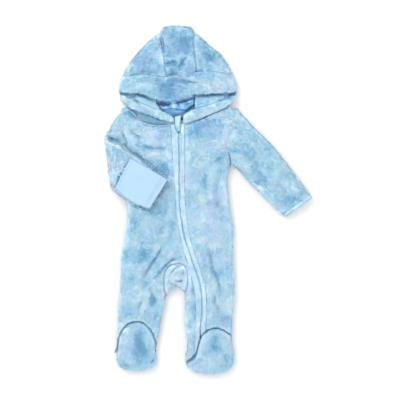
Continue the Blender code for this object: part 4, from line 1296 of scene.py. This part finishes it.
def zip_slider():
    """The slider: two plates with their sides drawn in, a bridge and a small pull."""
    low, high = (Vector(corner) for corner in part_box("zip_slider"))
    middle = (low + high) / 2
    size = high - low
    thick = PLATE * MM
    parts = (
        ((middle.x, middle.y, low.z + 0.5 * MM), (size.x, size.y, thick)),
        ((middle.x, middle.y, high.z - 0.5 * MM), (0.96 * size.x, 0.96 * size.y, thick)),
        (middle, (0.22 * size.x, 0.3 * size.y, 0.9 * size.z)),
        ((middle.x, middle.y, high.z + 0.5 * MM), (0.2 * size.x, 0.62 * size.y, thick)),
    )
    pieces = []
    for place, sides in parts:
        bpy.ops.object.select_all(action="DESELECT")
        bpy.ops.mesh.primitive_cube_add(size=1, location=place)
        block = bpy.context.object
        block.scale = sides
        bpy.ops.object.transform_apply(location=True, rotation=True, scale=True)
        soft = block.modifiers.new("soft", "BEVEL")
        soft.width = BEVEL * MM
        soft.segments = 2
        apply_all(block)
        pieces.append(block)
    for block in pieces:
        block.select_set(True)
    bpy.context.view_layer.objects.active = pieces[0]
    bpy.ops.object.join()
    slider = bpy.context.object
    slider.name = "zip_slider_body"
    slider.data.name = slider.name
    narrow = points_of(slider.data)
    down = (high.y - narrow[:, 1]) / size.y
    narrow[:, 0] = middle.x + (narrow[:, 0] - middle.x) * (1 - 0.3 * down.clip(0, 1))
    moved_to(slider.data, narrow)
    slider.data.shade_smooth()
    return slider


def stitch_rows(name, lines, cloth, lift):
    """Rows of short stitches that lie on a cloth."""
    surface = BVHTree.FromObject(cloth, bpy.context.evaluated_depsgraph_get())
    bm = bmesh.new()
    for line in lines:
        places, ways = spaced_along(curve_through(line), STITCH_PITCH)
        for place, way in zip(places, ways):
            over = Vector((place[0] * MM, place[1] * MM, 0.1))
            hit = surface.ray_cast(over, Vector((0, 0, -1)))[0]
            if hit:
                middle = hit + Vector((0, 0, lift * MM))
                bar(bm, middle, (*way, 0), STITCH_SHARE * STITCH_PITCH * MM, THREAD_RADIUS * MM)
    return finished(name, bm)


# ---------------------------------------------------------------- pieces


class PramsuitStep:
    """What all the operators share"""

    bl_options = {"REGISTER", "UNDO"}


class PramsuitPlush(PramsuitStep):
    """What the operators of the plush pieces share: cloth and shade of each node"""

    def execute(self, context):
        for seed, (node, (cloth, shade)) in enumerate(self.cloths.items()):
            dress_plush(node, cloth, shade, self.first_seed + seed)
        return {"FINISHED"}


class PRAMSUIT_OT_body(PramsuitPlush, Operator):
    """Fronts, back and the gusset at the crotch"""

    bl_idname = "pramsuit.body"
    bl_label = "Body"
    first_seed = 1
    cloths = {
        "front_right": ("plush", "body"),
        "front_left": ("plush", "body"),
        "back": ("under", "body"),
        "gusset": ("band", "pale"),
    }


class PRAMSUIT_OT_feet(PramsuitPlush, Operator):
    """Uppers and soles of the feet"""

    bl_idname = "pramsuit.feet"
    bl_label = "Feet"
    first_seed = 11
    cloths = {
        "foot_upper_right": ("band", "body"),
        "foot_upper_left": ("band", "body"),
        "foot_sole_right": ("under", "body"),
        "foot_sole_left": ("under", "body"),
    }


class PRAMSUIT_OT_sleeves(PramsuitPlush, Operator):
    """The straight sleeve, the folded sleeve and their hems"""

    bl_idname = "pramsuit.sleeves"
    bl_label = "Sleeves"
    first_seed = 21
    cloths = {
        "sleeve_right": ("bag", "light"),
        "sleeve_left": ("bag", "light"),
        "cuff_right": ("hem", "pale"),
        "cuff_left": ("hem", "pale"),
    }


class PRAMSUIT_OT_hood(PramsuitPlush, Operator):
    """Centre strip and sides of the hood"""

    bl_idname = "pramsuit.hood"
    bl_label = "Hood"
    first_seed = 31
    cloths = {
        "hood_centre": ("bag", "crown"),
        "hood_side_right": ("bag", "hood"),
        "hood_side_left": ("bag", "hood"),
    }


class PRAMSUIT_OT_face_band(PramsuitPlush, Operator):
    """Brim, the band below the face, and the facing inside it"""

    bl_idname = "pramsuit.face_band"
    bl_label = "Face band"
    first_seed = 41
    cloths = {
        "hood_brim": ("band", "hood"),
        "hood_edge_right": ("band", "pale"),
        "hood_edge_left": ("band", "pale"),
        "hood_facing_right": ("facing", "inner"),
        "hood_facing_left": ("facing", "inner"),
        "hood_neck_right": ("facing", "shade"),
    }


class PRAMSUIT_OT_plackets(PramsuitPlush, Operator):
    """The combed strips beside the zip and the guard at its top"""

    bl_idname = "pramsuit.plackets"
    bl_label = "Plackets"
    first_seed = 51
    cloths = {
        "placket_right": ("combed", "pale"),
        "placket_left": ("combed", "pale"),
        "zip_guard": ("guard", "guard"),
    }


class PRAMSUIT_OT_mittens(PramsuitStep, Operator):
    """Jersey flaps that fold over the hands"""

    bl_idname = "pramsuit.mittens"
    bl_label = "Mitten flaps"

    def execute(self, context):
        for node in ("mitten_right", "mitten_left"):
            piece = even_copy(node, f"{node}_cloth", JERSEY_VOXEL, 3)
            mesh = piece.data
            places = points_of(mesh)
            grooves = np.zeros(len(places))
            for line in STITCHES.get(node, ()):
                away = from_line(places[:, :2] / MM, curve_through(line))[0]
                grooves += near(away, GROOVE_WIDTH)
            up = step(points_of(mesh, "normal")[:, 2], 0.3, 0.8)
            places[:, 2] -= GROOVE_DEPTH * MM * grooves * up
            places[:, 2] += JERSEY_SWELL * MM * up * swell(places, 0.028, 9)
            # Painted shade in the hem grooves, carried in the tone
            set_values(mesh, "tone", grooves * up)
            moved_to(mesh, places)
            give_finish(piece, "jersey_knit", jersey_finish)
            declare(piece, node)
        return {"FINISHED"}


class PRAMSUIT_OT_lining(PramsuitStep, Operator):
    """Satin lining in the hood, gathered along its seam with the neck"""

    bl_idname = "pramsuit.lining"
    bl_label = "Lining"

    def execute(self, context):
        low, high = (np.array(corner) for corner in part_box("hood_lining"))
        size = high - low
        bpy.ops.object.select_all(action="DESELECT")
        across, along = LINING_FACES
        bpy.ops.mesh.primitive_grid_add(x_subdivisions=across, y_subdivisions=along, size=1)
        piece = context.object
        piece.name = "hood_lining_cloth"
        mesh = piece.data
        share = points_of(mesh) + 0.5
        places = low + share * size
        flat = places[:, :2] / MM
        seam = from_line(flat, curve_through(LINING_SEAM))[0]
        folds, dark, _ = creased(flat, LINING_FOLDS)
        neck = below_line(flat, curve_through(LINING_SEAM))
        drop = LINING_SEAM_DEPTH * near(seam, 1.3) - LINING_SEAM_SWELL * near(seam - 3, 1.6)
        places[:, 2] = high[2] - LINING_DEPTH * MM - (folds * 0.6 + drop) * MM
        places[:, 2] = np.clip(places[:, 2], low[2] + 0.1 * MM, None)
        moved_to(mesh, places)
        wall = piece.modifiers.new("wall", "SOLIDIFY")
        wall.thickness = LINING_WALL * MM
        wall.offset = -1
        # Painted light on the satin's facets and painted shade in its folds, along its seam and on the
        # neck below it
        tone = patch_tones(flat, LINING_LIGHT_AND_SHADE) - 0.25 * folds - 1.5 * dark
        tone -= 0.4 * neck + 0.9 * near(seam, 1.2)
        set_values(mesh, "tone", tone)
        apply_all(piece)
        piece.data.shade_smooth()
        give_finish(piece, "lining_satin", satin_finish)
        declare(piece, "hood_lining")
        return {"FINISHED"}


class PRAMSUIT_OT_zip(PramsuitStep, Operator):
    """Tape, teeth and slider"""

    bl_idname = "pramsuit.zip"
    bl_label = "Zip"

    def execute(self, context):
        colours = context.scene.pramsuit_colours
        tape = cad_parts["zip_tape"]
        tape.data.materials.clear()
        give_finish(tape, "zip_tape_twill", woven_finish, colours.tape, 0.0006)
        for node, make, finish, look in (
            ("zip_coil", zip_teeth, "zip_nylon", (colours.zip, 0.4, 0.0)),
            ("zip_slider", zip_slider, "slider_paint", (colours.slider, 0.3, 0.4)),
        ):
            piece = make()
            give_finish(piece, finish, nylon_finish, *look)
            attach(piece, "root")
            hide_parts(node)
        return {"FINISHED"}


class PRAMSUIT_OT_stitches(PramsuitStep, Operator):
    """Rows of stitches along the plackets and the mitten hems"""

    bl_idname = "pramsuit.stitches"
    bl_label = "Stitches"

    def execute(self, context):
        colours = context.scene.pramsuit_colours
        for node, lines in STITCHES.items():
            slot = "jersey" if "mitten" in node else "pale_plush"
            cloth = bpy.data.objects[f"{node}_cloth"]
            row = stitch_rows(f"{node}_stitches", lines, cloth, STITCH_HEIGHTS[slot])
            give_finish(row, "sewing_thread", woven_finish, colours.thread, 0.0003)
            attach(row, "root")
        return {"FINISHED"}


class PRAMSUIT_OT_stage(PramsuitStep, Operator):
    """Pale floor, soft light and the camera"""

    bl_idname = "pramsuit.stage"
    bl_label = "Stage"

    def execute(self, context):
        scene = context.scene
        stage = scene.pramsuit_stage
        bpy.ops.object.select_all(action="DESELECT")
        bpy.ops.mesh.primitive_plane_add(size=FLOOR_SIZE, location=(0, 0, FLOOR_LEVEL))
        floor = context.object
        floor.name = "floor"
        floor.data.transform(floor.matrix_world)
        floor.matrix_world.identity()
        give_finish(floor, "floor_paper", floor_finish, stage.floor)
        bpy.ops.object.light_add(type="AREA", location=KEY_PLACE)
        key = context.object
        key.name = "key_light"
        key.data.size = KEY_SIZE
        key.data.energy = stage.key
        key.rotation_euler = (-key.location).to_track_quat("-Z", "Y").to_euler()
        bpy.ops.object.camera_add(location=(stage.view_middle, 0, stage.camera_height))
        camera = context.object
        camera.name = "camera"
        camera.data.sensor_width = SENSOR
        camera.data.lens = SENSOR * (stage.camera_height - VIEW_LEVEL) / stage.view_width
        scene.camera = camera
        world = bpy.data.worlds.new("soft_sky")
        scene.world = world
        world.use_nodes = True
        sky = world.node_tree.nodes["Background"]
        sky.inputs["Color"].default_value = (1, 1, 1, 1)
        sky.inputs["Strength"].default_value = stage.sky
        scene.view_settings.view_transform = "Standard"
        return {"FINISHED"}


class PRAMSUIT_PT_panel(Panel):
    """Lists the steps that dress the suit"""

    bl_label = "Pramsuit"
    bl_idname = "PRAMSUIT_PT_panel"
    bl_space_type = "VIEW_3D"
    bl_region_type = "UI"
    bl_category = "Pramsuit"

    def draw(self, context):
        scene = context.scene
        for group in (scene.pramsuit_cloth, scene.pramsuit_colours, scene.pramsuit_stage):
            box = self.layout.box()
            for key in group.__annotations__:
                box.prop(group, key)
        for step_class in STEPS:
            self.layout.operator(step_class.bl_idname)


SETTINGS = {
    "pramsuit_cloth": PramsuitCloth,
    "pramsuit_colours": PramsuitColours,
    "pramsuit_stage": PramsuitStage,
}
STEPS = (
    PRAMSUIT_OT_stage,
    PRAMSUIT_OT_body,
    PRAMSUIT_OT_feet,
    PRAMSUIT_OT_sleeves,
    PRAMSUIT_OT_hood,
    PRAMSUIT_OT_face_band,
    PRAMSUIT_OT_plackets,
    PRAMSUIT_OT_mittens,
    PRAMSUIT_OT_lining,
    PRAMSUIT_OT_zip,
    PRAMSUIT_OT_stitches,
)


def register():
    for name, group in SETTINGS.items():
        bpy.utils.register_class(group)
        setattr(bpy.types.Scene, name, PointerProperty(type=group))
    for step_class in (*STEPS, PRAMSUIT_PT_panel):
        bpy.utils.register_class(step_class)


def unregister():
    for step_class in (PRAMSUIT_PT_panel, *reversed(STEPS)):
        bpy.utils.unregister_class(step_class)
    for name, group in SETTINGS.items():
        delattr(bpy.types.Scene, name)
        bpy.utils.unregister_class(group)


def main():
    """Dresses the whole suit."""
    register()
    for step_class in STEPS:
        area, verb = step_class.bl_idname.split(".")
        getattr(getattr(bpy.ops, area), verb)()


if __name__ == "__main__":
    main()
